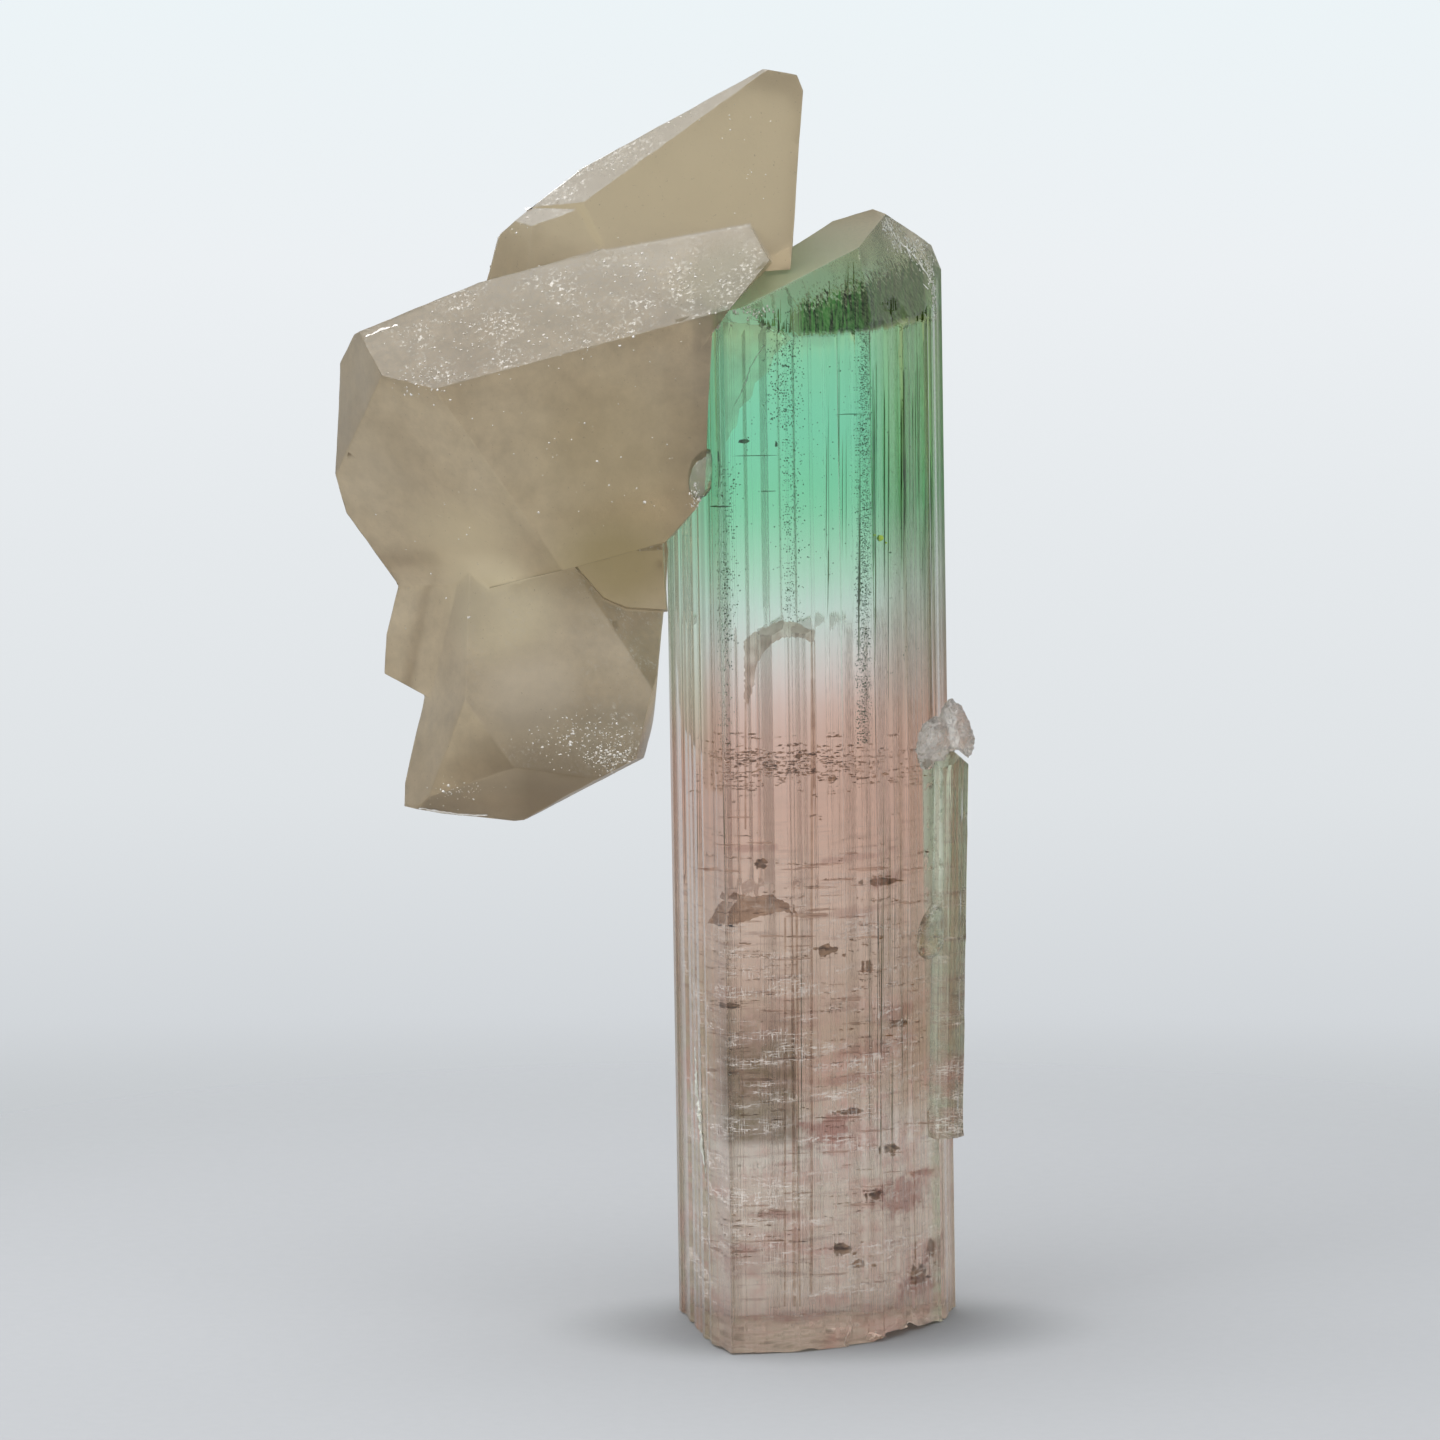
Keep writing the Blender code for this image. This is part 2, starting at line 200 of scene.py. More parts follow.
# The tent: palest overhead, darker low down and at the two sides, where it opens
tent = add_node(tree, "ShaderNodeValToRGB", {0: overlap(tree, (height, -1.0, 1.0))}, stops=[
    (0.0, "a8aaac"), (0.38, "c4c7ca"), (0.52, "e9eef1"), (0.8, "f4f6f8"), (1.0, "ffffff"),
])
layers = [
    (overlap(tree, (height, -0.26, -0.215), (height, -0.10, -0.13)), sweep.outputs[0]),
    (overlap(tree, (sideways.outputs[0], 0.5, 0.98, 0.0, 0.36, "SMOOTHSTEP"), (height, 0.3, 0.0)),
     linear("4a4d50")),
]
for card_way, reach in CARDS:
    layers.append((near(tree, direction, card_way, reach, reach * 0.45, 0.75), linear("5a5d60")))
tone = tent.outputs[0]
for share, tint in layers:
    tone = add_node(tree, "ShaderNodeMix", {
        "Factor": share, 6: tone, 7: tint,
    }, data_type="RGBA").outputs[2]
glow = add_node(tree, "ShaderNodeBackground", {"Color": tone, "Strength": 1.0})
add_node(tree, "ShaderNodeOutputWorld", {"Surface": glow.outputs[0]})


def add_soft_box(name, power, size, place, aim):
    """A square soft box, aimed from its place at a point on the specimen. All in metres and watts."""
    light = bpy.data.lights.new(name, "AREA")
    light.energy = power
    light.shape = "SQUARE"
    light.size = size
    lamp = bpy.data.objects.new(name, light)
    lamp.location = place
    lamp.rotation_euler = (Vector(aim) - Vector(place)).to_track_quat("-Z", "Y").to_euler()
    bpy.context.scene.collection.objects.link(lamp)


add_soft_box("overhead_box", 1.6, 0.45, (-0.14, -0.05, 0.55), (0, 0, 0.05))
add_soft_box("left_box", 0.7, 0.30, (-0.42, -0.30, 0.28), (-0.01, 0, 0.06))

# ---------------------------------------------------------------------------------------------
# The tourmaline prism: one long crystal, striated from foot to head by its growth. It is clear
# inside, green at the head, colourless for a short way and pink below, and its foot is broken.
# ---------------------------------------------------------------------------------------------
PRISM_LEAN = math.tan(math.radians(0.9))
TOURMALINE_IOR = 1.62
COLUMN_STEP = 0.22
ROW_STEP = 1.4
STRIATION_DEPTH = 0.10
HEAD_PITTING = 0.04
FOOT_HOLLOWS = 0.8
# The side prism that stands against the right face, where the clear green wall is
SIDE_PRISM_TOP = 47.0


def copy_of_node(name):
    """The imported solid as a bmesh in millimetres, with its flat faces whole again."""
    bm = bmesh.new()
    bm.from_mesh(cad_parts[name].data)
    bmesh.ops.scale(bm, vec=(1 / MM, 1 / MM, 1 / MM), verts=bm.verts)
    bmesh.ops.remove_doubles(bm, verts=bm.verts, dist=0.003)
    bmesh.ops.dissolve_limit(bm, angle_limit=math.radians(0.3), verts=bm.verts, edges=bm.edges)
    return bm


def slice_evenly(bm, across, step):
    """Cut the faces into strips of one width, which gives the surface points that can be moved."""
    reach = [vert.co.dot(across) for vert in bm.verts]
    at = min(reach) + step / 2
    while at < max(reach):
        everything = bm.verts[:] + bm.edges[:] + bm.faces[:]
        bmesh.ops.bisect_plane(bm, geom=everything, dist=0.001, plane_co=across * at, plane_no=across)
        at += step


bm = copy_of_node("tourmaline")
slice_evenly(bm, Vector((1, 0, PRISM_LEAN)).normalized(), COLUMN_STEP)
slice_evenly(bm, Vector((0, 1, 0)), COLUMN_STEP)
slice_evenly(bm, Vector((0, 0, 1)), ROW_STEP)
bm.normal_update()
for vert in bm.verts:
    x, y, z = vert.co
    upright = Vector((x + PRISM_LEAN * z, y, z))
    if abs(vert.normal.z) < 0.35:
        # The right of the front is deeply furrowed, the left of it is nearly flat
        furrowed = min(1.0, max(0.05, (upright.x - 1.2) / 3.0)) if y < 4 else 0.05
        coarse = noise.noise(Vector((upright.x * 1.9, upright.y * 1.9, z * 0.02)))
        fine = noise.noise(Vector((upright.x * 5.0, upright.y * 5.0, z * 0.012 + 7)))
        depth = STRIATION_DEPTH * furrowed * ((0.5 + 0.5 * coarse) + 0.6 * (0.5 + 0.5 * fine))
        vert.co -= Vector((vert.normal.x, vert.normal.y, 0)) * depth
    elif vert.normal.z > 0:
        pit = noise.fractal(vert.co * 0.7, 0.8, 2.2, 4)
        vert.co -= vert.normal * HEAD_PITTING * (0.6 + 0.6 * pit)
    if z < 0.01:
        # The broken foot is shelly, and the prism stands on the high places that are left
        shell = noise.fractal(Vector((x * 0.22, y * 0.22, 9.0)), 0.9, 2.3, 5)
        inward = 1 - math.hypot(x / 11.0, (y - 0.8) / 11.5)
        vert.co.z = FOOT_HOLLOWS * max(0.0, 0.35 + shell) * min(1.0, max(0.25, inward / 0.35))
    vert.co.z = max(vert.co.z, 0.0)

bm.normal_update()
prism_skin = BVHTree.FromBMesh(bm)

# Tourmaline: glossy and clear, its colour deepest where the light crosses both walls; the ribs
# break what is behind it into upright lines, and the back is matter, so it softens them
tourmaline_material, tree, mm = new_material("tourmaline_striated_prism")
parts = add_node(tree, "ShaderNodeSeparateXYZ", {0: mm})
deep, high = parts.outputs["Y"], parts.outputs["Z"]
lean = add_node(tree, "ShaderNodeMath", {
    0: high, 1: PRISM_LEAN, 2: parts.outputs["X"],
}, operation="MULTIPLY_ADD").outputs[0]
# The patterns in it: blotches to a millimetre across, back and up, their detail and roughness
patterns = {}
for name, blotches, detail, roughness in (
    ("streaks", (3.52, 3.52, 0.048), 5.0, 0.65),  # growth tubes, which also fray the zones' edges
    ("needles", (5.0, 0.4, 0.35), 4.0, 0.5),
    ("layers", (0.14, 0.14, 0.75), 5.0, 0.62),
    ("thin layers", (0.22, 0.22, 2.4), 5.0, 0.6),
    ("stains", (0.26, 0.26, 0.42), 5.0, 0.6),
    ("rags", (0.9, 0.9, 0.9), 6.0, 0.65),
    ("fine lines", (7.0, 7.0, 0.08), 3.0, 0.5),
    ("level cracks", (0.3, 0.3, 2.6), 4.0, 0.6),
    ("upright cracks", (3.4, 3.4, 0.14), 4.0, 0.6),
    ("frost_and_highlight", (0.9, 0.9, 0.9), 6.0, 0.7),
):
    stretched = add_node(tree, "ShaderNodeMapping", {"Vector": mm, "Scale": blotches})
    patterns[name] = add_node(tree, "ShaderNodeTexNoise", {
        "Vector": stretched.outputs[0], "Scale": 1.0, "Detail": detail, "Roughness": roughness,
    }).outputs["Fac"]
# The heights at which zones end: each is frayed by a pattern, and slants across
heights = {}
for name, pattern, fraying, slant in (
    ("zones", "streaks", 3.0, 0.0), ("dark foot", "streaks", 1.2, 0.06),
    ("dark top", "streaks", 7.0, -0.2), ("shoulder", "streaks", 7.0, 0.6), ("smoke top", "rags", 9.0, 0.0),
):
    frayed = add_node(tree, "ShaderNodeMath", {
        0: patterns[pattern], 1: fraying, 2: high,
    }, operation="MULTIPLY_ADD")
    heights[name] = add_node(tree, "ShaderNodeMath", {
        0: lean, 1: slant, 2: frayed.outputs[0],
    }, operation="MULTIPLY_ADD").outputs[0]
zones = heights["zones"]
share_up = overlap(tree, (zones, 1.5, 91.5))
# The zoning: olive grey at the head over a dark green level, mint, a colourless gap, then pink
zoning = add_node(tree, "ShaderNodeValToRGB", {0: share_up}, stops=[
    (0.00, "d6c4b2"), (0.02, "f6e2d0"), (0.14, "efdecb"), (0.175, "f6ecdf"), (0.21, "dac0a8"),
    (0.26, "ccac92"), (0.37, "eccfba"), (0.46, "ebc1ac"), (0.55, "f3cdbc"), (0.60, "f8ece4"),
    (0.645, "e8faee"), (0.69, "c2f6d4"), (0.75, "8eecb8"), (0.82, "8cedc0"), (0.885, "9aecbc"),
    (0.915, "c8eaae"), (0.945, "c6be94"), (1.00, "b6a282"),
])
# The right flank is olive from the head down, and browner towards the pink
olive = add_node(tree, "ShaderNodeValToRGB", {0: share_up}, stops=[
    (0.54, "c9ad98"), (0.61, "b3a48c"), (0.675, "aeb79a"), (0.745, "5fa352"), (0.83, "9cc66c"),
    (0.90, "b0bd7c"), (1.00, "c0b8a0"),
])
# A thin level of the darkest green lies just under the end faces, most of all at the right. It is
# made of needles too fine and crowded to part, which show as upright lines of two greens
dark_share = overlap(
    tree, (heights["dark foot"], 82.0, 82.5), (heights["dark top"], 88.4, 86.8, 0.0, 1.0, "SMOOTHSTEP"),
    (lean, -2.0, 0.2, 0.02, 1.0, "SMOOTHSTEP"), (lean, 10.6, 9.6, 0.25, 1.0), (deep, 9.0, 7.0),
    (patterns["streaks"], 0.42, 0.58, 1.0, 0.93))
dark_colour = linear("041404")
for share, tint in (
    (overlap(tree, (patterns["needles"], 0.40, 0.60)), "386c30"),
    (overlap(tree, (lean, 3.2, 6.5, 0.0, 0.7)), "1c3408"),
):
    dark_colour = add_node(tree, "ShaderNodeMix", {
        "Factor": share, 6: dark_colour, 7: linear(tint),
    }, data_type="RGBA").outputs[2]
shoulder_share = overlap(tree, (lean, 6.0, 8.6), (heights["shoulder"], 94.4, 95.6))
left_edge = overlap(tree, (lean, -7.4, -9.0, 0.0, 1.0, "SMOOTHSTEP"))
wall_height = overlap(tree, (high, SIDE_PRISM_TOP + 1, SIDE_PRISM_TOP - 1))
wall_front = overlap(tree, (deep, 3.4, 2.4))
layer_height = overlap(tree, (high, 50.0, 36.0))
front_only = overlap(tree, (deep, 4.5, 3.5))
# Soft spots of stain: the place of each on the front, its half width and half height, its share
SOFT_STAINS = (
    (0.8, 17.6, 2.6, 1.8, 0.9), (6.6, 11.3, 2.9, 1.9, 0.88), (9.4, 5.6, 1.2, 2.2, 0.9),
    (8.0, 3.6, 2.0, 1.1, 0.85), (-3.4, 11.2, 2.6, 0.5, 0.75), (-5.8, 7.4, 2.4, 1.6, 0.5),
    (4.4, 23.8, 3.2, 1.0, 0.55), (6.0, 26.2, 2.0, 0.8, 0.6), (-7.4, 29.0, 1.4, 1.0, 0.45),
    (3.0, 35.0, 2.8, 0.6, 0.5), (5.4, 37.2, 2.0, 0.7, 0.6), (-5.4, 40.8, 3.2, 0.35, 0.55),
    (-5.0, 18.0, 3.4, 1.4, 0.4), (1.8, 21.6, 3.4, 0.5, 0.6), (3.4, 39.4, 3.6, 0.4, 0.5),
    (-2.0, 3.0, 4.0, 0.5, 0.5),
)
on_front = add_node(tree, "ShaderNodeCombineXYZ", {"X": lean, "Z": high})
spots = 0.0
for across, up, wide, tall, share in SOFT_STAINS:
    spot_place = add_node(tree, "ShaderNodeMapping", {
        "Vector": on_front.outputs[0], "Scale": (1 / wide, 1.0, 1 / tall),
        "Location": (-(across + PRISM_LEAN * up) / wide, 0.0, -up / tall),
    })
    spot_way = add_node(tree, "ShaderNodeVectorMath", {0: spot_place.outputs[0]}, operation="LENGTH")
    spot_ragged = add_node(tree, "ShaderNodeMath", {
        0: patterns["rags"], 1: 2.4, 2: spot_way.outputs["Value"],
    }, operation="MULTIPLY_ADD")
    spot = overlap(tree, (spot_ragged.outputs[0], 2.25, 1.65, 0.0, share, "SMOOTHSTEP"))
    spots = add_node(tree, "ShaderNodeMath", {0: spots, 1: spot}, operation="MAXIMUM").outputs[0]
# The zones and stains, each laid over those before it: its share, and its colour
colour = zoning.outputs[0]
for share, tint in (
    (dark_share, dark_colour),
    # The right shoulder above the dark level is the palest beige
    (shoulder_share, linear("fff0de")),
    # Rose is deepest in the right half of the pink zone
    (overlap(tree, (lean, -3.0, 3.0, 0.0, 1.0, "SMOOTHSTEP"),
             (zones, 33.0, 41.0, 0.0, 1.0, "SMOOTHSTEP"), (zones, 56.0, 49.0, 0.0, 0.8, "SMOOTHSTEP")),
     linear("eabda6")),
    # The left edge is a grey green near the foot, and the palest green higher up
    (overlap(tree, left_edge, (zones, 36.0, 27.0, 0.0, 0.9, "SMOOTHSTEP")), linear("bfb897")),
    (overlap(tree, left_edge, (zones, 46.0, 54.0, 0.0, 0.85, "SMOOTHSTEP"), (high, 80.0, 72.0)),
     linear("dcfce0")),
    (overlap(tree, (lean, 4.2, 7.2, 0.0, 1.0, "SMOOTHSTEP"),
             (zones, 47.0, 56.0, 0.0, 0.85, "SMOOTHSTEP"), (high, 81.8, 81.0, 0.15, 1.0)),
     olive.outputs[0]),
    # The side prism is a pale grey green
    (overlap(tree, (lean, 9.0, 9.6), wall_height, wall_front), linear("d0d6ba")),
    # Cloudy layers lie level through the pink zone, and thin brown ones, level and ragged, in them
    (overlap(tree, layer_height, (patterns["layers"], 0.42, 0.62, 0.0, 0.5)), linear("c9a896")),
    (overlap(tree, (patterns["thin layers"], 0.54, 0.66, 0.0, 0.7), layer_height, front_only),
     linear("946c5c")),
    # Iron stains the foot pink in ragged patches, and brown in softer spots
    (overlap(tree, (patterns["stains"], 0.5, 0.6, 0.0, 0.6), (high, 34.0, 20.0)), linear("dba597")),
    (overlap(tree, spots, front_only), linear("98584a")),
    # Grey brown smoke fills the lower phantom and ends in a level foot
    (overlap(tree, (patterns["rags"], 0.38, 0.62, 0.72, 1.0), (lean, -8.3, -7.0), (lean, -1.35, -1.6),
             (high, 16.6, 17.4), (heights["smoke top"], 34.0, 28.5, 0.0, 1.0, "SMOOTHSTEP"), front_only),
     linear("5a482c")),
):
    colour = add_node(tree, "ShaderNodeMix", {
        "Factor": share, 6: colour, 7: tint,
    }, data_type="RGBA").outputs[2]
# The furrows of the right half and of the foot carry streaks and fine lines; the streaks darken
# the colour, partly as growth tubes and partly as painted shade in the furrows
furrows = add_node(tree, "ShaderNodeMath", {
    0: overlap(tree, (lean, 1.0, 4.2, 0.03, 1.0)), 1: overlap(tree, (high, 40.0, 28.0, 0.0, 0.7)),
}, operation="MAXIMUM").outputs[0]
# Darker along the streaks: partly growth tubes, partly painted shade in the furrows
streaks_and_furrow_shade = add_node(tree, "ShaderNodeMix", {
    "Factor": furrows, 6: colour, 7: overlap(tree, (patterns["streaks"], 0.34, 0.56, 0.84, 1.0)),
}, data_type="RGBA", blend_type="MULTIPLY")
relief = add_node(tree, "ShaderNodeBump", {
    "Height": overlap(tree, patterns["fine lines"], furrows), "Strength": 0.3, "Distance": 0.0001,
})
# Hairline cracks craze the lower half, level ones and upright ones: the contours of two noises
crack_lines = []
for name, crack_width in (("level cracks", 0.020), ("upright cracks", 0.016)):
    off_line = add_node(tree, "ShaderNodeMath", {0: patterns[name], 1: 0.5}, operation="SUBTRACT")
    from_line = add_node(tree, "ShaderNodeMath", {0: off_line.outputs[0]}, operation="ABSOLUTE")
    crack_lines.append(overlap(tree, (from_line.outputs[0], crack_width, crack_width * 0.4)))
either_line = add_node(tree, "ShaderNodeMath", {
    0: crack_lines[0], 1: crack_lines[1],
}, operation="MAXIMUM")
craze = overlap(tree, either_line.outputs[0], (patterns["layers"], 0.46, 0.6), (high, 44.0, 28.0),
                (high, 1.5, 4.0), (deep, 5.0, 3.0))
# The left edge of the side prism is frosted greenish white, made whiter still by a painted highlight
frost_and_highlight = overlap(tree, (patterns["frost_and_highlight"], 0.33, 0.47), (lean, 8.9, 9.1), (lean, 10.9, 10.2),
                (high, 33.0, 38.0, 0.25, 1.0), wall_front, wall_height)
colour = streaks_and_furrow_shade.outputs[2]
# The craze, then the frost, whose white is partly a painted highlight
for share, tint in ((craze, "f6ece2"), (frost_and_highlight, "ecf6e2")):
    colour = add_node(tree, "ShaderNodeMix", {
        "Factor": share, 6: colour, 7: linear(tint),
    }, data_type="RGBA").outputs[2]
# The end faces are a little clouded too, the flattest most of all
skin_way = add_node(tree, "ShaderNodeNewGeometry")
facing_up = add_node(tree, "ShaderNodeSeparateXYZ", {0: skin_way.outputs["Normal"]}).outputs["Z"]
clearness = overlap(tree, (facing_up, 0.65, 0.95, 0.97, 0.72))
# A haze over the shoulder and the left of the end faces, the craze, the dark level and the frost
# with its painted highlight all take from it: each as its share, and how much of the clearness it takes
for share, taken in (
    (shoulder_share, 0.13), (overlap(tree, (lean, -1.4, -3.2), (high, 83.6, 85.0, 0.0, 0.18)), 1.0),
    (craze, 0.55), (overlap(tree, (dark_share, 0.35, 0.9, 0.0, 0.9)), 1.0), (frost_and_highlight, 0.7),
):
    clearness = add_node(tree, "ShaderNodeMath", {
        0: share, 1: -taken, 2: clearness,
    }, operation="MULTIPLY_ADD").outputs[0]
# The front is glossy, the back is matter, and the crown and the small caps up the back are frosted
slope = add_node(tree, "ShaderNodeMath", {0: facing_up}, operation="ABSOLUTE")
matter = add_node(tree, "ShaderNodeMath", {
    0: overlap(tree, (slope.outputs[0], 0.45, 0.65), (high, 62.0, 60.0, 0.0, 0.4), (deep, 7.5, 8.5)),
    1: overlap(tree, (facing_up, 0.8, 0.93, 0.0, 0.4)),
}, operation="MAXIMUM")
gloss = add_node(tree, "ShaderNodeMath", {
    0: overlap(tree, (deep, 4.0, 8.5, 0.05, 0.42)), 1: matter.outputs[0],
}, operation="ADD")
gem = add_node(tree, "ShaderNodeBsdfPrincipled", {
    "Base Color": colour, "Roughness": gloss.outputs[0], "IOR": TOURMALINE_IOR,
    "Transmission Weight": clearness, "Normal": relief.outputs[0],
})
add_node(tree, "ShaderNodeOutputMaterial", {"Surface": gem.outputs[0]})

tourmaline = new_piece("tourmaline_prism", bm, tourmaline_material)
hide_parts("tourmaline")
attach(tourmaline, "root")

# ---------------------------------------------------------------------------------------------
# What is enclosed in the prism near its front: specks in upright strings, dark and bright growth
# lines along the furrows, and ragged dashes and flakes of brown in the pink zone.
# ---------------------------------------------------------------------------------------------
# A place in front of the stone or behind it, well clear of both
FAR = 200
# The front of the prism seen from above, at its foot: the corners of its faces, left to right
PRISM_FRONT = (
    (-11.1, 7.0), (-8.5, -6.8), (-6.9, -10.2), (-1.5, -9.2), (1.7, -7.5), (5.4, -4.9), (10.0, 2.4),
    (11.1, 8.0),
)


def behind_front(across, up, depth):
    """The point this deep in the prism that shows at a place on its front, through the face there."""
    sight = -view_back
    place = Vector((across, 0, 0)) + view_up * up
    surface, normal, _face, _far = prism_skin.ray_cast(place - sight * FAR, sight)
    if surface is None or normal.z < 0.2:
        foot_across = across + PRISM_LEAN * up
        for (x0, y0), (x1, y1) in zip(PRISM_FRONT, PRISM_FRONT[1:]):
            if foot_across <= x1 or (x1, y1) == PRISM_FRONT[-1]:
                break
        y = y0 + (y1 - y0) * (foot_across - x0) / (x1 - x0)
        z = (up - y * math.sin(VIEW_ELEVATION)) / math.cos(VIEW_ELEVATION)
        surface = Vector((across, y, z))
        normal = Vector((y1 - y0, x0 - x1, 0)).normalized()
    facing = -sight.dot(normal)
    bent = sight / TOURMALINE_IOR + normal * (
        facing / TOURMALINE_IOR - math.sqrt(1 - (1 - facing ** 2) / TOURMALINE_IOR ** 2))
    return surface + bent * (depth / -bent.dot(normal))


def on_skin(skin, across, up, sink):
    """The point this far under a crystal's real surface that shows at a place, or None beside it."""
    place = Vector((across, 0, 0)) + view_up * up
    surface, normal, _face, _far = skin.ray_cast(place + view_back * FAR, -view_back)
    return None if surface is None else surface - normal * sink


def add_flake(bm, chance, centre, wide, tall, deep, corners=8):
    """A ragged lens of the given half sizes: a ring that faces the front, thickest at its middle."""
    turn = chance.uniform(0, math.tau)
    ring = []
    for i in range(corners):
        angle = turn + math.tau * (i + chance.uniform(-0.3, 0.3)) / corners
        reach = chance.uniform(0.6, 1.0)
        off_middle = deep * chance.uniform(-0.2, 0.2)
        ring.append(bm.verts.new(centre + Vector((
            wide * reach * math.cos(angle), off_middle, tall * reach * math.sin(angle)))))
    front = bm.verts.new(centre - Vector((0, deep, 0)))
    back = bm.verts.new(centre + Vector((0, deep, 0)))
    for a, b in zip(ring, ring[1:] + ring[:1]):
        bm.faces.new((a, b, front))
        bm.faces.new((b, a, back))


def new_inclusion_material(name, light, dark, roughness, see_through, ior, scale):
    """A mottled inclusion: two colours mixed by a noise whose scale is in blotches a millimetre."""
    material, tree, mm = new_material(name)
    mottle = add_node(tree, "ShaderNodeTexNoise", {"Vector": mm, "Scale": scale, "Detail": 2.0})
    colour = add_node(tree, "ShaderNodeMix", {
        "Factor": overlap(tree, (mottle.outputs["Fac"], 0.35, 0.65)), 6: linear(dark), 7: linear(light),
    }, data_type="RGBA")
    body = add_node(tree, "ShaderNodeBsdfPrincipled", {
        "Base Color": colour.outputs[2], "Roughness": roughness, "IOR": ior,
        "Transmission Weight": see_through,
    })
    add_node(tree, "ShaderNodeOutputMaterial", {"Surface": body.outputs[0]})
    return material


def enclose(name, bm, material):
    """Finish a joined mesh of inclusions, which rides with its host crystal."""
    piece = new_piece(name, bm, material, sharp_angle=40)
    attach(piece, "root")


# Strings of specks: left, right, foot and top as seen on the front, how many, and their half size
SPECK_STRINGS = (
    (-3.2, -1.1, 56.3, 78.6, 760, 0.055),
    (-8.3, -6.2, 54.5, 69.0, 360, 0.065),
    (-8.0, -6.6, 46.5, 55.0, 90, 0.06),
    (3.0, 4.3, 46.8, 79.2, 2600, 0.052),
    (-4.6, -1.6, 72.0, 78.8, 260, 0.06),
    (-7.5, 4.5, 60.0, 78.0, 160, 0.06),
    (5.0, 9.5, 52.0, 78.0, 260, 0.055),
    (-4.8, 3.8, 79.0, 81.0, 160, 0.06),
)
chance = random.Random(11)
bm = bmesh.new()
for left, right, foot, top, count, size in SPECK_STRINGS:
    for _ in range(count):
        up = chance.uniform(foot, top)
        middle = (left + right) / 2
        across = middle + (right - left) / 2 * chance.triangular(-1, 1, 0)
        grown = size * chance.uniform(0.5, 1.5)
        at = behind_front(across, up, chance.uniform(0.35, 1.2))
        add_flake(bm, chance, at, grown, grown, grown, 5)
# Short curved cracks beside them: where each shows, and its half sizes
for across, up, wide, tall in (
    (-8.05, 65.5, 1.15, 0.09), (-5.95, 70.6, 0.6, 0.22), (-4.1, 66.7, 0.8, 0.05), (-3.4, 70.4, 0.15, 0.3),
    (-5.0, 69.5, 2.2, 0.04), (2.4, 72.8, 1.6, 0.04),
):
    add_flake(bm, chance, behind_front(across, up, 0.4), wide, tall, 0.05, 11)
# Dark tourmaline specks: matt points of dark green that fleck the clear stone
speck_material = new_inclusion_material("dark_tourmaline_specks", "567a50", "2c4428", 0.4, 0.5, 1.1, 3.0)
enclose("speck_strings", bm, speck_material)

# Growth lines: left, right, foot and top as seen on the front, how many, and their half width
DARK_LINES = (
    (0.5, 1.0, 53.0, 79.0, 2, 0.035), (1.6, 2.4, 55.0, 79.0, 3, 0.03),
    (3.0, 3.3, 46.0, 79.5, 3, 0.05), (4.3, 4.9, 50.0, 79.5, 5, 0.05),
    (5.0, 5.8, 47.0, 79.0, 6, 0.045), (6.6, 7.1, 50.0, 79.0, 6, 0.055),
    (7.2, 8.6, 56.0, 79.0, 9, 0.04), (8.6, 9.6, 46.0, 79.0, 7, 0.04),
    (-11.2, -9.6, 25.0, 56.0, 6, 0.035), (-2.0, -1.2, 2.0, 34.0, 3, 0.04),
    (4.0, 8.5, 6.0, 46.0, 22, 0.025),
)
LINE_DEPTH = 0.3
bm = bmesh.new()
for left, right, foot, top, count, width in DARK_LINES:
    for _ in range(count):
        across = chance.uniform(left, right)
        start = chance.uniform(foot, foot + (top - foot) * 0.5)
        length = min(top - start, chance.uniform(0.35, 1.0) * (top - foot))
        lower = behind_front(across, start, LINE_DEPTH)
        upper = behind_front(across, start + length, LINE_DEPTH)
        add_flake(bm, chance, (lower + upper) / 2, width, length / 2, 0.05, 6)
# Growth lines: thin planes that turn the light aside, seen as fine grey green lines
line_material = new_inclusion_material("dark_growth_lines", "8c9b78", "5f6c50", 0.4, 0.9, 1.1, 0.4)
enclose("dark_growth_lines", bm, line_material)

# Dashes: left, right, foot and top as seen on the front, how many, longest half length, and depth
LOWEST_FLAKE = 1.8
DASH_FIELDS = (
    (-10.5, 9.0, 42.0, 48.0, 230, 1.3, 4.0),
    (-6.5, 3.5, 43.5, 47.0, 130, 0.9, 2.0),
    (-10.5, 9.5, 14.0, 43.0, 150, 1.7, 5.0),
    (-9.5, 9.5, 2.5, 14.0, 60, 1.6, 5.0),
    (3.0, 9.0, 20.0, 40.0, 50, 0.8, 2.0),
)
bm = bmesh.new()
for left, right, foot, top, count, longest, deepest in DASH_FIELDS:
    for _ in range(count):
        seen = (chance.uniform(left, right), chance.triangular(foot, top, (foot + top) / 2))
        length = longest * chance.uniform(0.12, 1.0) ** 1.8
        at = behind_front(*seen, chance.uniform(0.4, deepest))
        if at.z < LOWEST_FLAKE:
            continue
        # Each dash is broken into grains of all sizes that lie in a ragged row
        for _grain in range(2 + int(length / 0.25)):
            shift = Vector((chance.uniform(-1, 1) * length, 0, chance.gauss(0, 0.05)))
            grain = chance.uniform(0.06, 0.34)
            add_flake(bm, chance, at + shift, grain, chance.uniform(0.02, 0.08), 0.06, 6)
# The larger brown flakes: where they show, and their half sizes
BROWN_FLAKES = (
    (-4.6, 37.3, 0.62, 0.55), (0.6, 30.4, 1.3, 0.62), (5.4, 35.8, 1.7, 0.45), (4.0, 29.0, 0.4, 0.6),
    (2.0, 6.5, 0.95, 0.6), (3.4, 5.3, 0.9, 0.45), (8.3, 4.2, 1.3, 1.0), (9.2, 6.3, 0.8, 1.0),
    (4.6, 10.8, 0.7, 0.45), (-9.7, 46.2, 0.35, 0.3), (1.2, 44.0, 0.3, 0.25),
    (-1.6, 45.8, 0.35, 0.3), (6.6, 24.5, 1.6, 0.4), (-7.0, 26.0, 1.0, 0.3), (2.6, 17.5, 1.5, 0.35),
    (6.0, 14.5, 1.4, 0.5),
)
BROWN_FLAKE_DEPTH = 1.4
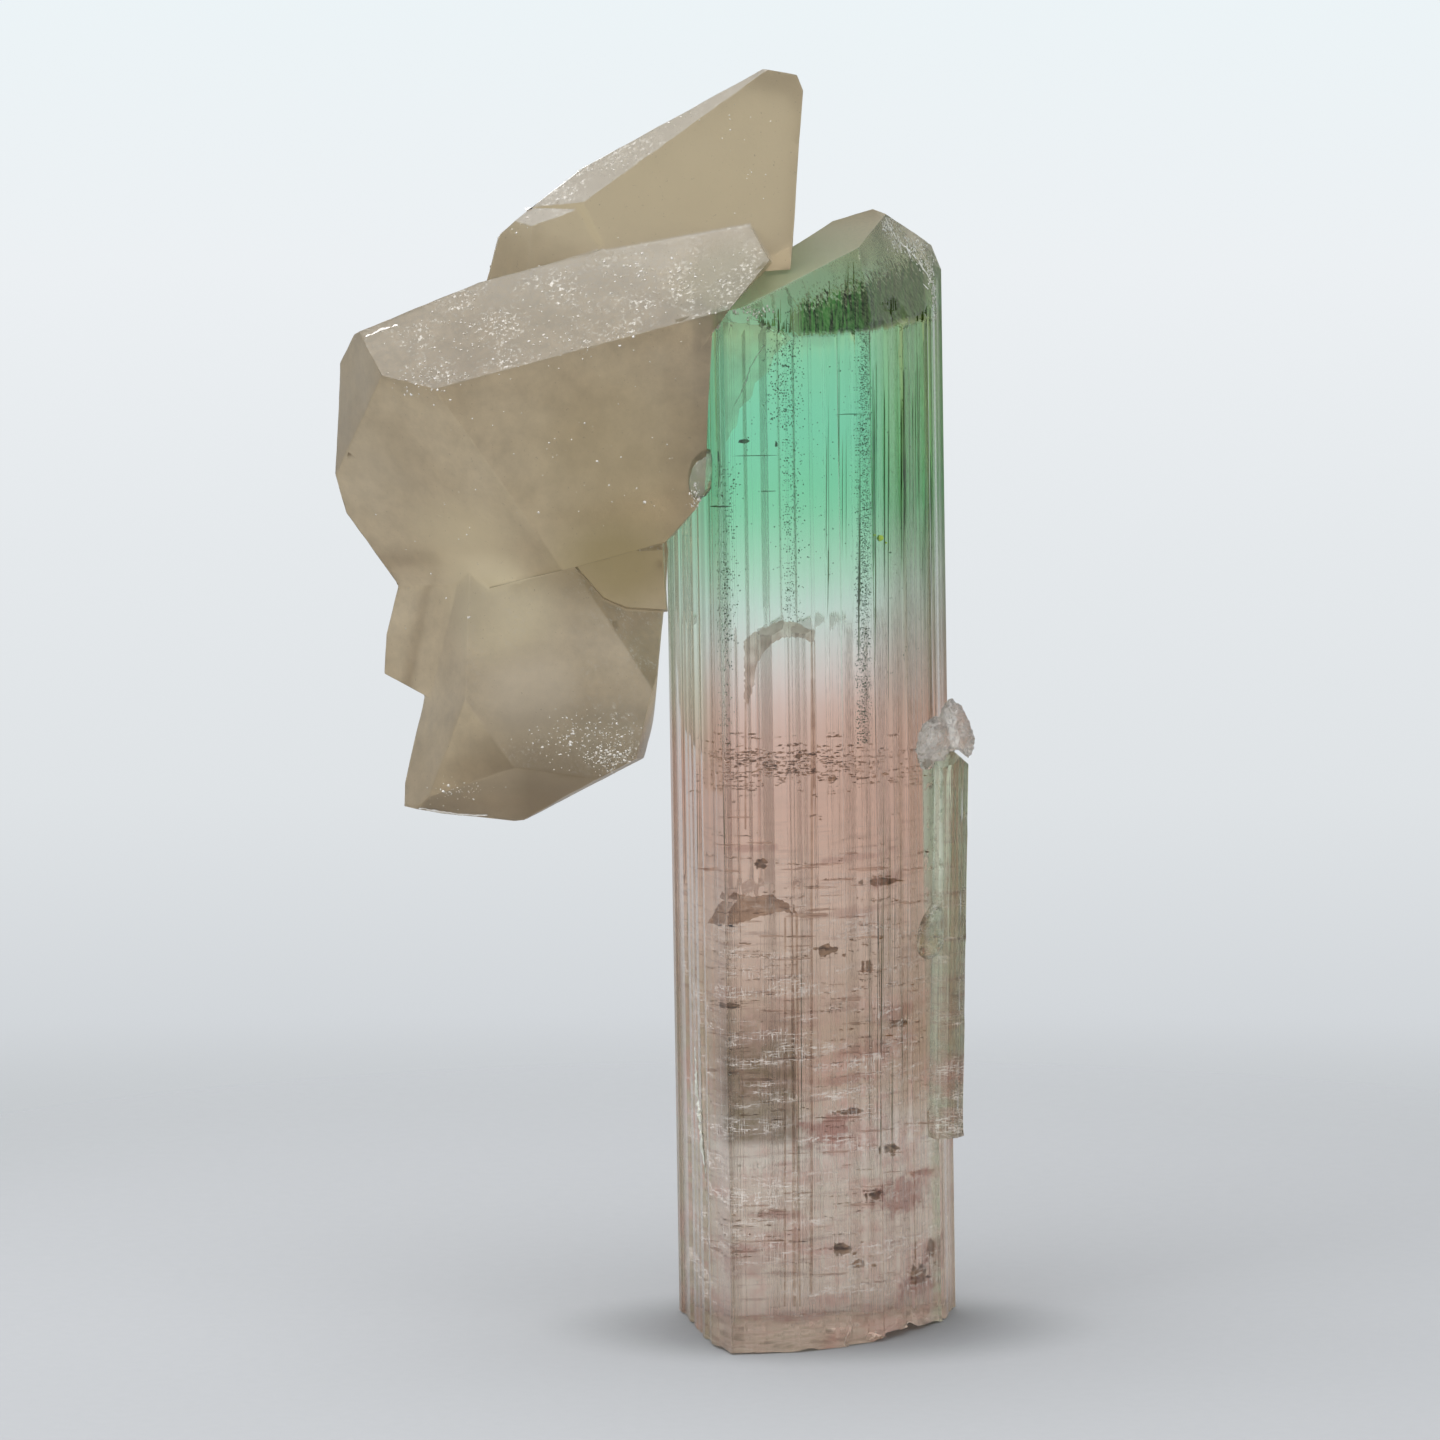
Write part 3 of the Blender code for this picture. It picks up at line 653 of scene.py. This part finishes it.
for across, up, wide, tall in BROWN_FLAKES:
    at = behind_front(across, up, BROWN_FLAKE_DEPTH)
    add_flake(bm, chance, at, wide, tall, 0.12, 13)
    for _ in range(5):
        shift = Vector((chance.gauss(0, wide * 0.7), 0.15, chance.gauss(0, tall * 0.5)))
        part_wide, part_tall = wide * chance.uniform(0.15, 0.5), tall * chance.uniform(0.1, 0.4)
        add_flake(bm, chance, at + shift, part_wide, part_tall, 0.1, 7)
# Iron stained veils: brown and half clear, so they darken the pink behind them
dash_material = new_inclusion_material("iron_stained_veils", "c4b098", "907c66", 0.3, 0.98, 1.03, 1.2)
enclose("iron_stained_veils", bm, dash_material)

# Paler pink veils, as thin as the cracks that they heal, lie level through the pink zone
bm = bmesh.new()
for _ in range(90):
    seen = (chance.uniform(-9.5, 9.0), chance.uniform(3.5, 42.0))
    at = behind_front(*seen, chance.uniform(0.5, 3.0))
    wide = chance.uniform(0.4, 2.4)
    add_flake(bm, chance, at, wide, wide * chance.uniform(0.03, 0.1), 0.05, 12)
# Pink iron stains: the thinnest and palest of the veils, seen as faint level lines
stain_material = new_inclusion_material("pink_iron_stains", "efe6df", "c9b8ae", 0.3, 1.0, 1.02, 1.0)
enclose("pink_iron_stains", bm, stain_material)

# ---------------------------------------------------------------------------------------------
# The head of the prism: a thin layer of dark green needles lies under its end faces, and a knock
# has left bright curved cracks at the right.
# ---------------------------------------------------------------------------------------------
# The layer as it shows on the front: across, its foot, and how high its longest needles stand
NEEDLE_LAYER = (
    (-5.2, 79.9, 80.4), (-4.2, 79.5, 80.9), (-3.0, 79.2, 81.1), (-1.4, 79.1, 81.5),
    (0.2, 79.1, 82.1), (1.8, 79.3, 83.2), (2.4, 79.4, 85.4), (5.4, 79.6, 85.6), (6.0, 79.7, 84.4),
    (9.2, 80.3, 83.8),
)
# How far the marks on a skin are sunk in it, the step along a ragged line, and the lowest fleck
SUNK = 0.02
RAGGED_STEP = 0.22
LOWEST_FLECK = 0.5
# Rows of needles, one behind another: how deep, how many to a millimetre, and their share of the height
NEEDLE_ROWS = ((0.4, 7.0, 1.0), (0.8, 5.0, 0.5))


def close_thread(bm, rows):
    """Close a thread's skin between its rows of four points, and at its two ends."""
    for low_row, high_row in zip(rows, rows[1:]):
        for i in range(4):
            j = (i + 1) % 4
            bm.faces.new((low_row[i], low_row[j], high_row[j], high_row[i]))
    bm.faces.new(rows[0][::-1])
    bm.faces.new(rows[-1])


def add_needle(bm, points, half_width):
    """A flat needle through points from its foot to its tip, which is the narrower end."""
    rows = []
    for index, point in enumerate(points):
        half = half_width * (1 - 0.75 * index / (len(points) - 1))
        rows.append([bm.verts.new(point + Vector(offset)) for offset in (
            (-half, 0, 0), (0, -0.03, 0), (half, 0, 0), (0, 0.03, 0))])
    close_thread(bm, rows)


chance = random.Random(23)
bm = bmesh.new()
for depth, density, share in NEEDLE_ROWS:
    for (x0, foot0, top0), (x1, foot1, top1) in zip(NEEDLE_LAYER, NEEDLE_LAYER[1:]):
        for _ in range(round((x1 - x0) * density)):
            along = chance.random()
            across = x0 + (x1 - x0) * along
            foot = foot0 + (foot1 - foot0) * along + chance.uniform(-0.1, 0.35)
            room = top0 + (top1 - top0) * along - foot
            length = room * share * chance.uniform(0.25, 1.0)
            if chance.random() < 0.12:
                foot += room * chance.uniform(0.2, 0.7)
            points = [behind_front(across, foot + length * step / 4, depth) for step in range(5)]
            add_needle(bm, points, chance.uniform(0.03, 0.10))
# Green tourmaline needles: clear dark threads, darkest where they cross
needle_material = new_inclusion_material("green_tourmaline_needles", "93a862", "58702e", 0.3, 1.0, 1.03, 1.2)
enclose("green_needle_layer", bm, needle_material)

# Cracks, each as its half width and the points that its bright edge passes through on the front
CRACKS = (
    (0.10, ((5.3, 88.3), (6.2, 86.9), (7.9, 85.2), (9.1, 83.3), (9.4, 81.4), (9.0, 80.0))),
    (0.07, ((6.9, 87.6), (7.0, 86.2), (7.4, 85.0), (8.6, 84.3))),
    (0.09, ((7.9, 83.6), (8.7, 82.9), (9.3, 83.0))),
    (0.07, ((8.0, 81.9), (8.9, 81.7), (9.3, 82.1))),
    (0.05, ((-4.2, 78.4), (-5.4, 76.6), (-6.0, 74.8), (-7.0, 72.9))),
    (0.20, ((-9.85, 22.6), (-9.6, 19.0), (-9.3, 15.5), (-8.95, 12.0))),
    (0.05, ((-9.4, 24.0), (-9.3, 18.0), (-9.0, 13.0), (-8.8, 8.0))),
)


def add_bright_edge(bm, chance, skin, half_width, path):
    """A ragged thread that follows a path on a crystal's skin, three sided and half sunk in it."""
    points = []
    for start, end in zip(path, path[1:]):
        steps = max(4, int(math.dist(start, end) / RAGGED_STEP))
        for step in range(steps):
            seen = [a + (b - a) * step / steps + chance.uniform(-0.04, 0.04) for a, b in zip(start, end)]
            point = on_skin(skin, *seen, SUNK)
            if point is not None:
                points.append(point)
    rows = []
    for index, point in enumerate(points):
        half = half_width * chance.uniform(0.35, 1.3)
        half *= math.sin(math.pi * (index + 0.5) / len(points)) ** 0.4
        along = (points[min(index + 1, len(points) - 1)] - points[max(index - 1, 0)]).normalized()
        beside = along.cross(view_back).normalized() * half
        rows.append([bm.verts.new(point + offset) for offset in (
            beside - view_back * 0.05, view_back * 0.03, -beside - view_back * 0.05, -view_back * 0.25)])
    close_thread(bm, rows)


bm = bmesh.new()
for half_width, crack in CRACKS:
    add_bright_edge(bm, chance, prism_skin, half_width, crack)
# White crumbs where the knock has crushed the stone
CRUSHED = (
    (5.5, 88.0, 0.5, 0.9, 110), (6.2, 86.6, 0.5, 0.9, 80), (7.6, 86.4, 0.9, 0.7, 90),
    (8.9, 84.0, 0.3, 1.2, 60), (9.2, 82.0, 0.25, 1.6, 60), (8.4, 85.0, 0.7, 0.6, 50),
    (-5.2, 80.8, 1.6, 0.7, 50),
)
for across, up, wide, tall, count in CRUSHED:
    for _ in range(count):
        seen = (chance.gauss(across, wide * 0.5), chance.gauss(up, tall * 0.5))
        at = on_skin(prism_skin, *seen, SUNK)
        if at is None:
            continue
        size = chance.uniform(0.05, 0.17)
        add_flake(bm, chance, at, size * 0.7, size * chance.uniform(0.4, 2.0), size * 0.4, 5)
# Bright flecks in the crazed lower half, and the frosted wall where the side prism joins
FLECKS = (
    (-7.2, 18.0, 0.8, 4.5, 120), (-4.5, 13.5, 2.5, 0.9, 90), (1.8, 20.0, 1.6, 3.0, 90),
    (5.6, 19.0, 1.6, 3.5, 110), (0.6, 11.5, 2.0, 1.8, 50), (6.2, 27.0, 1.8, 2.0, 60),
    (-5.0, 26.5, 1.5, 3.5, 50), (-2.6, 4.5, 3.0, 0.5, 40), (9.0, 42.0, 0.18, 3.2, 260),
    (9.25, 35.5, 0.2, 2.6, 120), (8.9, 31.5, 0.5, 1.4, 90), (9.0, 21.0, 0.2, 3.6, 60),
    (8.9, 10.5, 0.2, 1.0, 50), (3.0, 13.6, 5.0, 0.8, 60),
)
for across, up, wide, tall, count in FLECKS:
    for _ in range(count):
        seen = (chance.gauss(across, wide * 0.6), chance.gauss(up, tall * 0.6))
        at = on_skin(prism_skin, *seen, SUNK)
        if at is None or at.z < LOWEST_FLECK:
            continue
        size = chance.uniform(0.03, 0.10)
        stretch = chance.choice(((1, 0.35), (0.35, 1.6), (0.3, 3.0), (2.2, 0.3)))
        add_flake(bm, chance, at, size * stretch[0], size * stretch[1], 0.04, 5)
# Cracks with air in them: they mirror the light, so their edges shine white
crack_material = new_inclusion_material("bright_cracks", "f2f3ea", "cfd0c2", 0.3, 0.3, 1.45, 1.5)
enclose("bright_cracks", bm, crack_material)

# One speck of bright yellow green sits in the furrows at the right
bm = bmesh.new()
for across, up, wide, tall in ((4.8, 63.1, 0.44, 0.34), (4.3, 63.3, 0.24, 0.16), (5.3, 62.7, 0.16, 0.12)):
    add_flake(bm, chance, on_skin(prism_skin, across, up, 0.0), wide, tall, 0.08, 7)
# The fleck: a waxy point, far brighter than the stone round it
fleck_material = new_inclusion_material("yellow_green_fleck", "d4ee6a", "a3cc3c", 0.3, 0.3, 1.4, 2.0)
enclose("yellow_green_fleck", bm, fleck_material)

# ---------------------------------------------------------------------------------------------
# Phantoms: the outlines of two earlier prisms, drawn in the clear stone by thin brown films.
# ---------------------------------------------------------------------------------------------


# How thick each film is
FILM = 0.1


def add_film(bm, outline, depth, thickness):
    """A thin flat film whose outline is given as it shows on the front."""
    front = [bm.verts.new(behind_front(*seen, depth)) for seen in outline]
    back = [bm.verts.new(behind_front(*seen, depth + thickness)) for seen in outline]
    bm.faces.new(front)
    bm.faces.new(back[::-1])
    for i in range(len(outline)):
        j = (i + 1) % len(outline)
        bm.faces.new((front[j], front[i], back[i], back[j]))


def fray(chance, outline, size):
    """The outline again with small uneven steps along it."""
    steps = []
    for start, end in zip(outline, outline[1:] + outline[:1]):
        count = max(2, int(math.dist(start, end) / RAGGED_STEP))
        for step in range(count):
            steps.append([
                a + (b - a) * step / count + chance.uniform(-size, size) for a, b in zip(start, end)])
    return steps


chance = random.Random(31)
bm = bmesh.new()
# The upper phantom: its roof line with a ragged lower edge, the smudge at its left, and its two sides
ROOF = ((-5.9, 54.9), (-5.3, 55.5), (-3.1, 56.5), (-1.5, 56.3), (-0.5, 55.6))
add_film(bm, fray(chance, ROOF + (
    (-0.55, 54.8), (-1.5, 55.2), (-2.6, 55.2), (-3.6, 54.8), (-4.2, 54.2), (-4.9, 53.2), (-5.1, 52.0),
    (-5.4, 51.0), (-5.6, 49.6), (-5.9, 50.4)), 0.09), 1.6, FILM)
add_film(bm, ((-5.9, 40.0), (-5.9, 50.2), (-5.74, 50.0), (-5.74, 40.0)), 1.6, FILM)
add_film(bm, ((-0.66, 3.0), (-0.66, 54.8), (-0.46, 55.0), (-0.46, 3.0)), 1.7, FILM)
# The lower phantom: its domed cap, and its right side down to the foot
DOME = ((-8.8, 32.6), (-8.2, 33.8), (-6.8, 35.0), (-5.5, 34.7), (-3.7, 34.8), (-2.1, 33.9), (-1.8, 33.3))
add_film(bm, ((-2.05, 2.0), (-2.05, 33.5), (-1.65, 33.3), (-1.65, 2.0)), 1.6, FILM)
add_film(bm, ((-2.75, 2.0), (-2.75, 33.0), (-2.6, 33.0), (-2.6, 2.0)), 1.6, FILM)
# Dust sealed in by later growth: a soft smoky brown that stays clear
film_material = new_inclusion_material("brown_phantom_films", "e4dad0", "c9b9ab", 0.15, 1.0, 1.02, 1.1)
enclose("brown_phantom_films", bm, film_material)
# The cap of the lower phantom is the darkest film: the same dust, lying thicker
bm = bmesh.new()
add_film(bm, fray(chance, DOME + ((-3.0, 33.5), (-4.6, 33.1), (-6.4, 32.5), (-7.9, 32.3)), 0.07), 1.5, FILM)
cap_material = new_inclusion_material("brown_phantom_cap", "c8b6a2", "a48e7a", 0.15, 1.0, 1.02, 0.8)
enclose("brown_phantom_cap", bm, cap_material)

# A tan veil hangs where the head meets the quartz
bm = bmesh.new()
add_film(bm, (
    (-7.6, 79.9), (-4.4, 79.6), (-2.2, 79.0), (-3.6, 77.4), (-3.9, 76.2), (-5.1, 75.2), (-5.3, 74.2),
    (-6.3, 73.2), (-6.5, 71.9), (-7.4, 70.5)), 1.2, FILM)
# A healed crack: nearly clear, with a warm cast that greys the green
veil_material = new_inclusion_material("tan_veil", "fff0e6", "f0d8d0", 0.1, 1.0, 1.02, 0.5)
enclose("tan_veil", bm, veil_material)

# ---------------------------------------------------------------------------------------------
# The smoky quartz: stubby crystals grown into one another round the head of the prism. Their
# faces are lightly frosted by etching, and the smoky tan inside is cloudy, so little shows through.
# ---------------------------------------------------------------------------------------------
QUARTZ_IOR = 1.544
QUARTZ_EDGE = 0.14
QUARTZ_STEP = 0.7
QUARTZ_UNEVENNESS = 0.06

bm = copy_of_node("smoky_quartz")
sharp = [edge for edge in bm.edges if edge.is_manifold and edge.calc_face_angle() > math.radians(12)]
bmesh.ops.bevel(bm, geom=sharp, offset=QUARTZ_EDGE, segments=2, affect="EDGES", profile=0.6)
for direction_of_cut in (Vector((1, 0, 0)), Vector((0, 1, 0)), Vector((0, 0, 1))):
    slice_evenly(bm, direction_of_cut, QUARTZ_STEP)
bm.normal_update()
for vert in bm.verts:
    swell = noise.fractal(vert.co * 0.28, 0.9, 2.1, 4)
    vert.co -= vert.normal * QUARTZ_UNEVENNESS * (0.9 + 0.9 * swell)

bm.normal_update()
quartz_skin = BVHTree.FromBMesh(bm)

# Smoky quartz: its etched faces scatter the light, so it is soft, waxy and evenly tan, with
# whiter frost on the faces that look up and painted shade in the undersides
quartz_material, tree, mm = new_material("smoky_quartz_frosted")
place = add_node(tree, "ShaderNodeSeparateXYZ", {0: mm})
clouds = add_node(tree, "ShaderNodeTexNoise", {"Vector": mm, "Scale": 0.12, "Detail": 3.0})
smoke = add_node(tree, "ShaderNodeValToRGB", {0: clouds.outputs["Fac"]}, stops=[
    (0.3, "bda786"), (0.5, "cab696"), (0.7, "d6c3a5"),
])
etching = add_node(tree, "ShaderNodeTexNoise", {
    "Vector": mm, "Scale": 1.6, "Detail": 6.0, "Roughness": 0.7,
}).outputs["Fac"]
relief = add_node(tree, "ShaderNodeBump", {"Height": etching, "Strength": 0.2, "Distance": 0.0001})
# Fine mottling, a shade lighter and darker, runs through the smoke
mottle = add_node(tree, "ShaderNodeTexNoise", {
    "Vector": mm, "Scale": 0.55, "Detail": 6.0, "Roughness": 0.68,
})
mottled = add_node(tree, "ShaderNodeMix", {
    "Factor": 1.0, 6: smoke.outputs[0], 7: overlap(tree, (mottle.outputs["Fac"], 0.32, 0.68, 0.78, 1.10)),
}, data_type="RGBA", blend_type="MULTIPLY")
# Thicker and thinner smoke, deepest in the middle of the largest crystal, and lighter and darker
# spots of painted light and painted shade: the middle of each cloud, how far from it the cloud
# starts and is full, its share and its colour
SMOKE_AND_PAINTED_LIGHT = (
    ((-16.5, 0.0, 71.0), 15.0, 6.0, 0.75, "ad986c"), ((-33.5, -2.0, 72.5), 8.0, 2.0, 0.4, "93836a"),
    ((-28.0, -4.5, 63.0), 7.5, 1.875, 0.7, "e6d4ac"), ((-16.0, -8.0, 62.5), 8.0, 2.0, 0.85, "8c7a46"),
    ((-25.0, -3.5, 58.8), 6.0, 1.5, 0.8, "fff0c8"), ((-28.0, -3.0, 59.0), 4.0, 1.0, 0.35, "8e7d62"),
    ((-22.8, -5.0, 52.5), 5.0, 1.25, 0.6, "ecdcc4"),
)
smoke_and_painted_light = [
    (near(tree, mm, middle, start, full, most), linear(tone))
    for middle, start, full, most, tone in SMOKE_AND_PAINTED_LIGHT
]
frost_patch = near(tree, mm, (-16.2, -6.0, 49.0), 4.6, 1.5)
# Where the largest crystal laps over the head of the prism, the green below shows through
lap = near(tree, mm, (-7.5, -9.0, 87.0), 6.5, 2.5, 0.7)
# The uppermost crystal is thin and pale, and the undersides and the lower corner are darkened
# with painted shade
thin = overlap(tree, (place.outputs["Z"], 82.0, 90.0, 0.0, 0.85))
face_way = add_node(tree, "ShaderNodeNewGeometry")
facing_up = add_node(tree, "ShaderNodeSeparateXYZ", {0: face_way.outputs["Normal"]}).outputs["Z"]
lower_corner_painted_shade = overlap(tree, (place.outputs["Z"], 52.0, 46.0, 0.0, 0.95, "SMOOTHSTEP"),
                       (place.outputs["X"], -29.5, -23.0))
painted_underside_shade = add_node(tree, "ShaderNodeMath", {
    0: overlap(tree, (facing_up, -0.5, -0.7, 0.0, 0.75)), 1: lower_corner_painted_shade,
}, operation="MAXIMUM")
# The faces that look up carry a whiter, sugary frost, and so does the patch low on the right
sugary = add_node(tree, "ShaderNodeMath", {
    0: overlap(tree, (facing_up, 0.15, 0.6)), 1: frost_patch,
}, operation="MAXIMUM").outputs[0]
thin_sugar = add_node(tree, "ShaderNodeMath", {
    0: thin, 1: overlap(tree, (etching, 0.42, 0.62, 0.18, 0.58)),
}, operation="ADD")
sugar_share = add_node(tree, "ShaderNodeMath", {
    0: sugary, 1: thin_sugar.outputs[0],
}, operation="MULTIPLY", use_clamp=True)
sugar_tone = add_node(tree, "ShaderNodeMix", {
    "Factor": thin, 6: linear("9c927c"), 7: linear("f2eadf"),
}, data_type="RGBA")
# Single grains of frost stand out white where they crowd, and dark pits are sprinkled thinly
grain_noise = add_node(tree, "ShaderNodeTexNoise", {
    "Vector": mm, "Scale": 3.2, "Detail": 4.0, "Roughness": 0.75,
}).outputs["Fac"]
crowding = add_node(tree, "ShaderNodeTexNoise", {"Vector": mm, "Scale": 0.3, "Detail": 3.0})
grains = overlap(
    tree, (grain_noise, 0.54, 0.61), (crowding.outputs["Fac"], 0.44, 0.62, 0.05, 0.85), sugary)
colour = mottled.outputs[2]
# Laid on in turn: smoke with painted light and shade, the pale top, painted shade below, sugar, the green,
# grains and pits
for share, tint in (
    *smoke_and_painted_light, (thin, linear("dfcca6")), (painted_underside_shade.outputs[0], linear("6e5c42")),
    (sugar_share.outputs[0], sugar_tone.outputs[2]), (lap, linear("9f9d80")),
    (grains, linear("f6f2ea")),
    (overlap(tree, (grain_noise, 0.36, 0.30, 0.0, 0.55)), linear("6f6350")),
):
    colour = add_node(tree, "ShaderNodeMix", {
        "Factor": share, 6: colour, 7: tint,
    }, data_type="RGBA").outputs[2]
see_through = add_node(tree, "ShaderNodeMath", {0: grains, 1: -0.5, 2: 0.86}, operation="MULTIPLY_ADD")
stone = add_node(tree, "ShaderNodeBsdfPrincipled", {
    "Base Color": colour, "Roughness": overlap(tree, (etching, 0.3, 0.7, 0.31, 0.40)), "IOR": QUARTZ_IOR,
    "Transmission Weight": see_through.outputs[0], "Normal": relief.outputs[0],
})
add_node(tree, "ShaderNodeOutputMaterial", {"Surface": stone.outputs[0]})

quartz = new_piece("smoky_quartz_cluster", bm, quartz_material)
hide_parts("smoky_quartz")
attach(quartz, "root")

# Sugary grains of white on the etched faces: where a patch shows, its half sizes, and how many
SUGAR_PATCHES = (
    (-30.8, 75.4, 2.6, 1.4, 120), (-24.0, 79.5, 9.0, 3.0, 260), (-12.0, 83.5, 7.0, 2.4, 230),
    (-18.0, 93.0, 4.5, 1.6, 90), (-12.5, 96.5, 3.5, 1.5, 50), (-24.5, 88.5, 2.0, 1.0, 40),
    (-18.0, 47.2, 4.0, 1.9, 330), (-16.2, 45.6, 2.0, 1.1, 200), (-28.5, 42.9, 2.4, 1.0, 60),
    (-14.0, 66.5, 9.0, 6.0, 40), (-31.0, 62.0, 5.0, 4.0, 30), (-6.2, 94.0, 3.0, 5.0, 20),
    (-22.0, 71.0, 8.0, 5.0, 30),
)
# How far the grains stay from the prism, and how far they stand out of the face
CLEAR_OF_PRISM = 0.3
GRAIN_PROUD = 0.01
chance = random.Random(5)
bm = bmesh.new()
for across, up, wide, tall, count in SUGAR_PATCHES:
    for _ in range(count):
        seen = (chance.gauss(across, wide * 0.55), chance.gauss(up, tall * 0.55))
        at = on_skin(quartz_skin, *seen, -GRAIN_PROUD)
        if at is None or prism_skin.find_nearest(at)[3] < CLEAR_OF_PRISM:
            continue
        size = chance.uniform(0.03, 0.10) * (1.9 if chance.random() < 0.10 else 1.0)
        add_flake(bm, chance, at, size, size * chance.uniform(0.5, 1.1), 0.07, 5)
# Thin bright edges: a chipped corner at the far left, and the broken lower end
for half_width, path in (
    (0.16, ((-36.3, 78.75), (-34.9, 79.3), (-33.1, 79.95))),
    (0.18, ((-33.0, 41.95), (-30.6, 41.5), (-28.2, 41.15), (-25.6, 41.15))),
    (0.07, ((-36.1, 77.9), (-35.0, 78.1))),
):
    add_bright_edge(bm, chance, quartz_skin, half_width, path)
# Chips in the rounded nodule where the quartz meets the prism
for _ in range(60):
    at = on_skin(quartz_skin, chance.gauss(-9.75, 0.22), chance.gauss(66.6, 0.55), -0.3)
    if at is not None:
        size = chance.uniform(0.06, 0.2)
        add_flake(bm, chance, at, size * 0.6, size, 0.12, 5)
# Quartz sugar: white grains, each of which sparkles a little
sugar_material = new_inclusion_material("white_quartz_sugar", "fbf8f2", "e4dccf", 0.2, 0.15, QUARTZ_IOR, 2.0)
enclose("white_quartz_sugar", bm, sugar_material)

# The nodule: a rounded swelling of clearer quartz at the edge that touches the prism
NODULE_PLACE = (-9.15, 68.0)
NODULE_HALF_SIZES = (1.1, 0.75, 2.0)
NODULE_TURN = math.radians(12)

centre = on_skin(quartz_skin, *NODULE_PLACE, 0.35)
bm = bmesh.new()
bmesh.ops.create_icosphere(bm, subdivisions=5, radius=1.0)
for vert in bm.verts:
    lumpy = 1 + 0.10 * noise.noise(vert.co * 1.8) + 0.05 * noise.noise(vert.co * 5.0)
    x, y, z = [part * half * lumpy for part, half in zip(vert.co, NODULE_HALF_SIZES)]
    vert.co = centre + Vector((
        x * math.cos(NODULE_TURN) + z * math.sin(NODULE_TURN), y,
        z * math.cos(NODULE_TURN) - x * math.sin(NODULE_TURN)))
# Clear quartz: glassy, with a bright rim and a trace of the green beside it
nodule_material, tree, mm = new_material("clear_quartz_nodule")
wisps = add_node(tree, "ShaderNodeTexNoise", {"Vector": mm, "Scale": 1.8, "Detail": 4.0})
tint = add_node(tree, "ShaderNodeMix", {
    "Factor": wisps.outputs["Fac"], 6: linear("d8e2c4"), 7: linear("f4f6ea"),
}, data_type="RGBA")
swell = add_node(tree, "ShaderNodeBump", {
    "Height": wisps.outputs["Fac"], "Strength": 0.3, "Distance": 0.0001,
})
drop = add_node(tree, "ShaderNodeBsdfPrincipled", {
    "Base Color": tint.outputs[2], "Roughness": 0.12, "IOR": QUARTZ_IOR,
    "Transmission Weight": 0.8, "Normal": swell.outputs[0],
})
add_node(tree, "ShaderNodeOutputMaterial", {"Surface": drop.outputs[0]})
nodule = new_piece("clear_quartz_nodule", bm, nodule_material, sharp_angle=60)
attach(nodule, "root")

# ---------------------------------------------------------------------------------------------
# The quartz bead: a pale, knobbly grain that grew last, on the head of the side prism. Its skin
# is frosted and lumpy, so light gathers in its edges.
# ---------------------------------------------------------------------------------------------
BEAD_STEP = 0.16
BEAD_KNOBS = 0.22

# Pale quartz: whitish and lightly frosted, with light held in its knobs
bead_material, tree, mm = new_material("pale_quartz_bead")
lumps = add_node(tree, "ShaderNodeTexNoise", {"Vector": mm, "Scale": 2.0, "Detail": 4.0})
bead_tint = add_node(tree, "ShaderNodeMix", {
    "Factor": lumps.outputs["Fac"], 6: linear("e6d9cc"), 7: linear("fcfaf5"),
}, data_type="RGBA")
relief = add_node(tree, "ShaderNodeBump", {
    "Height": lumps.outputs["Fac"], "Strength": 0.3, "Distance": 0.0002,
})
skin = add_node(tree, "ShaderNodeBsdfPrincipled", {
    "Base Color": bead_tint.outputs[2], "Roughness": 0.16, "IOR": QUARTZ_IOR,
    "Transmission Weight": 0.88, "Normal": relief.outputs[0],
})
add_node(tree, "ShaderNodeOutputMaterial", {"Surface": skin.outputs[0]})

bm = copy_of_node("quartz_bead")
for cut_way in (Vector((1, 0, 0)), Vector((0, 1, 0)), Vector((0, 0, 1))):
    slice_evenly(bm, cut_way, BEAD_STEP)
bmesh.ops.triangulate(bm, faces=bm.faces)
bm.normal_update()
for vert in bm.verts:
    knobs = noise.fractal(vert.co * 1.3, 0.7, 2.2, 4)
    vert.co -= vert.normal * BEAD_KNOBS * max(0.0, 0.55 + knobs)
bead = new_piece("quartz_bead_skin", bm, bead_material, sharp_angle=50)
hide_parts("quartz_bead")
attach(bead, "root")
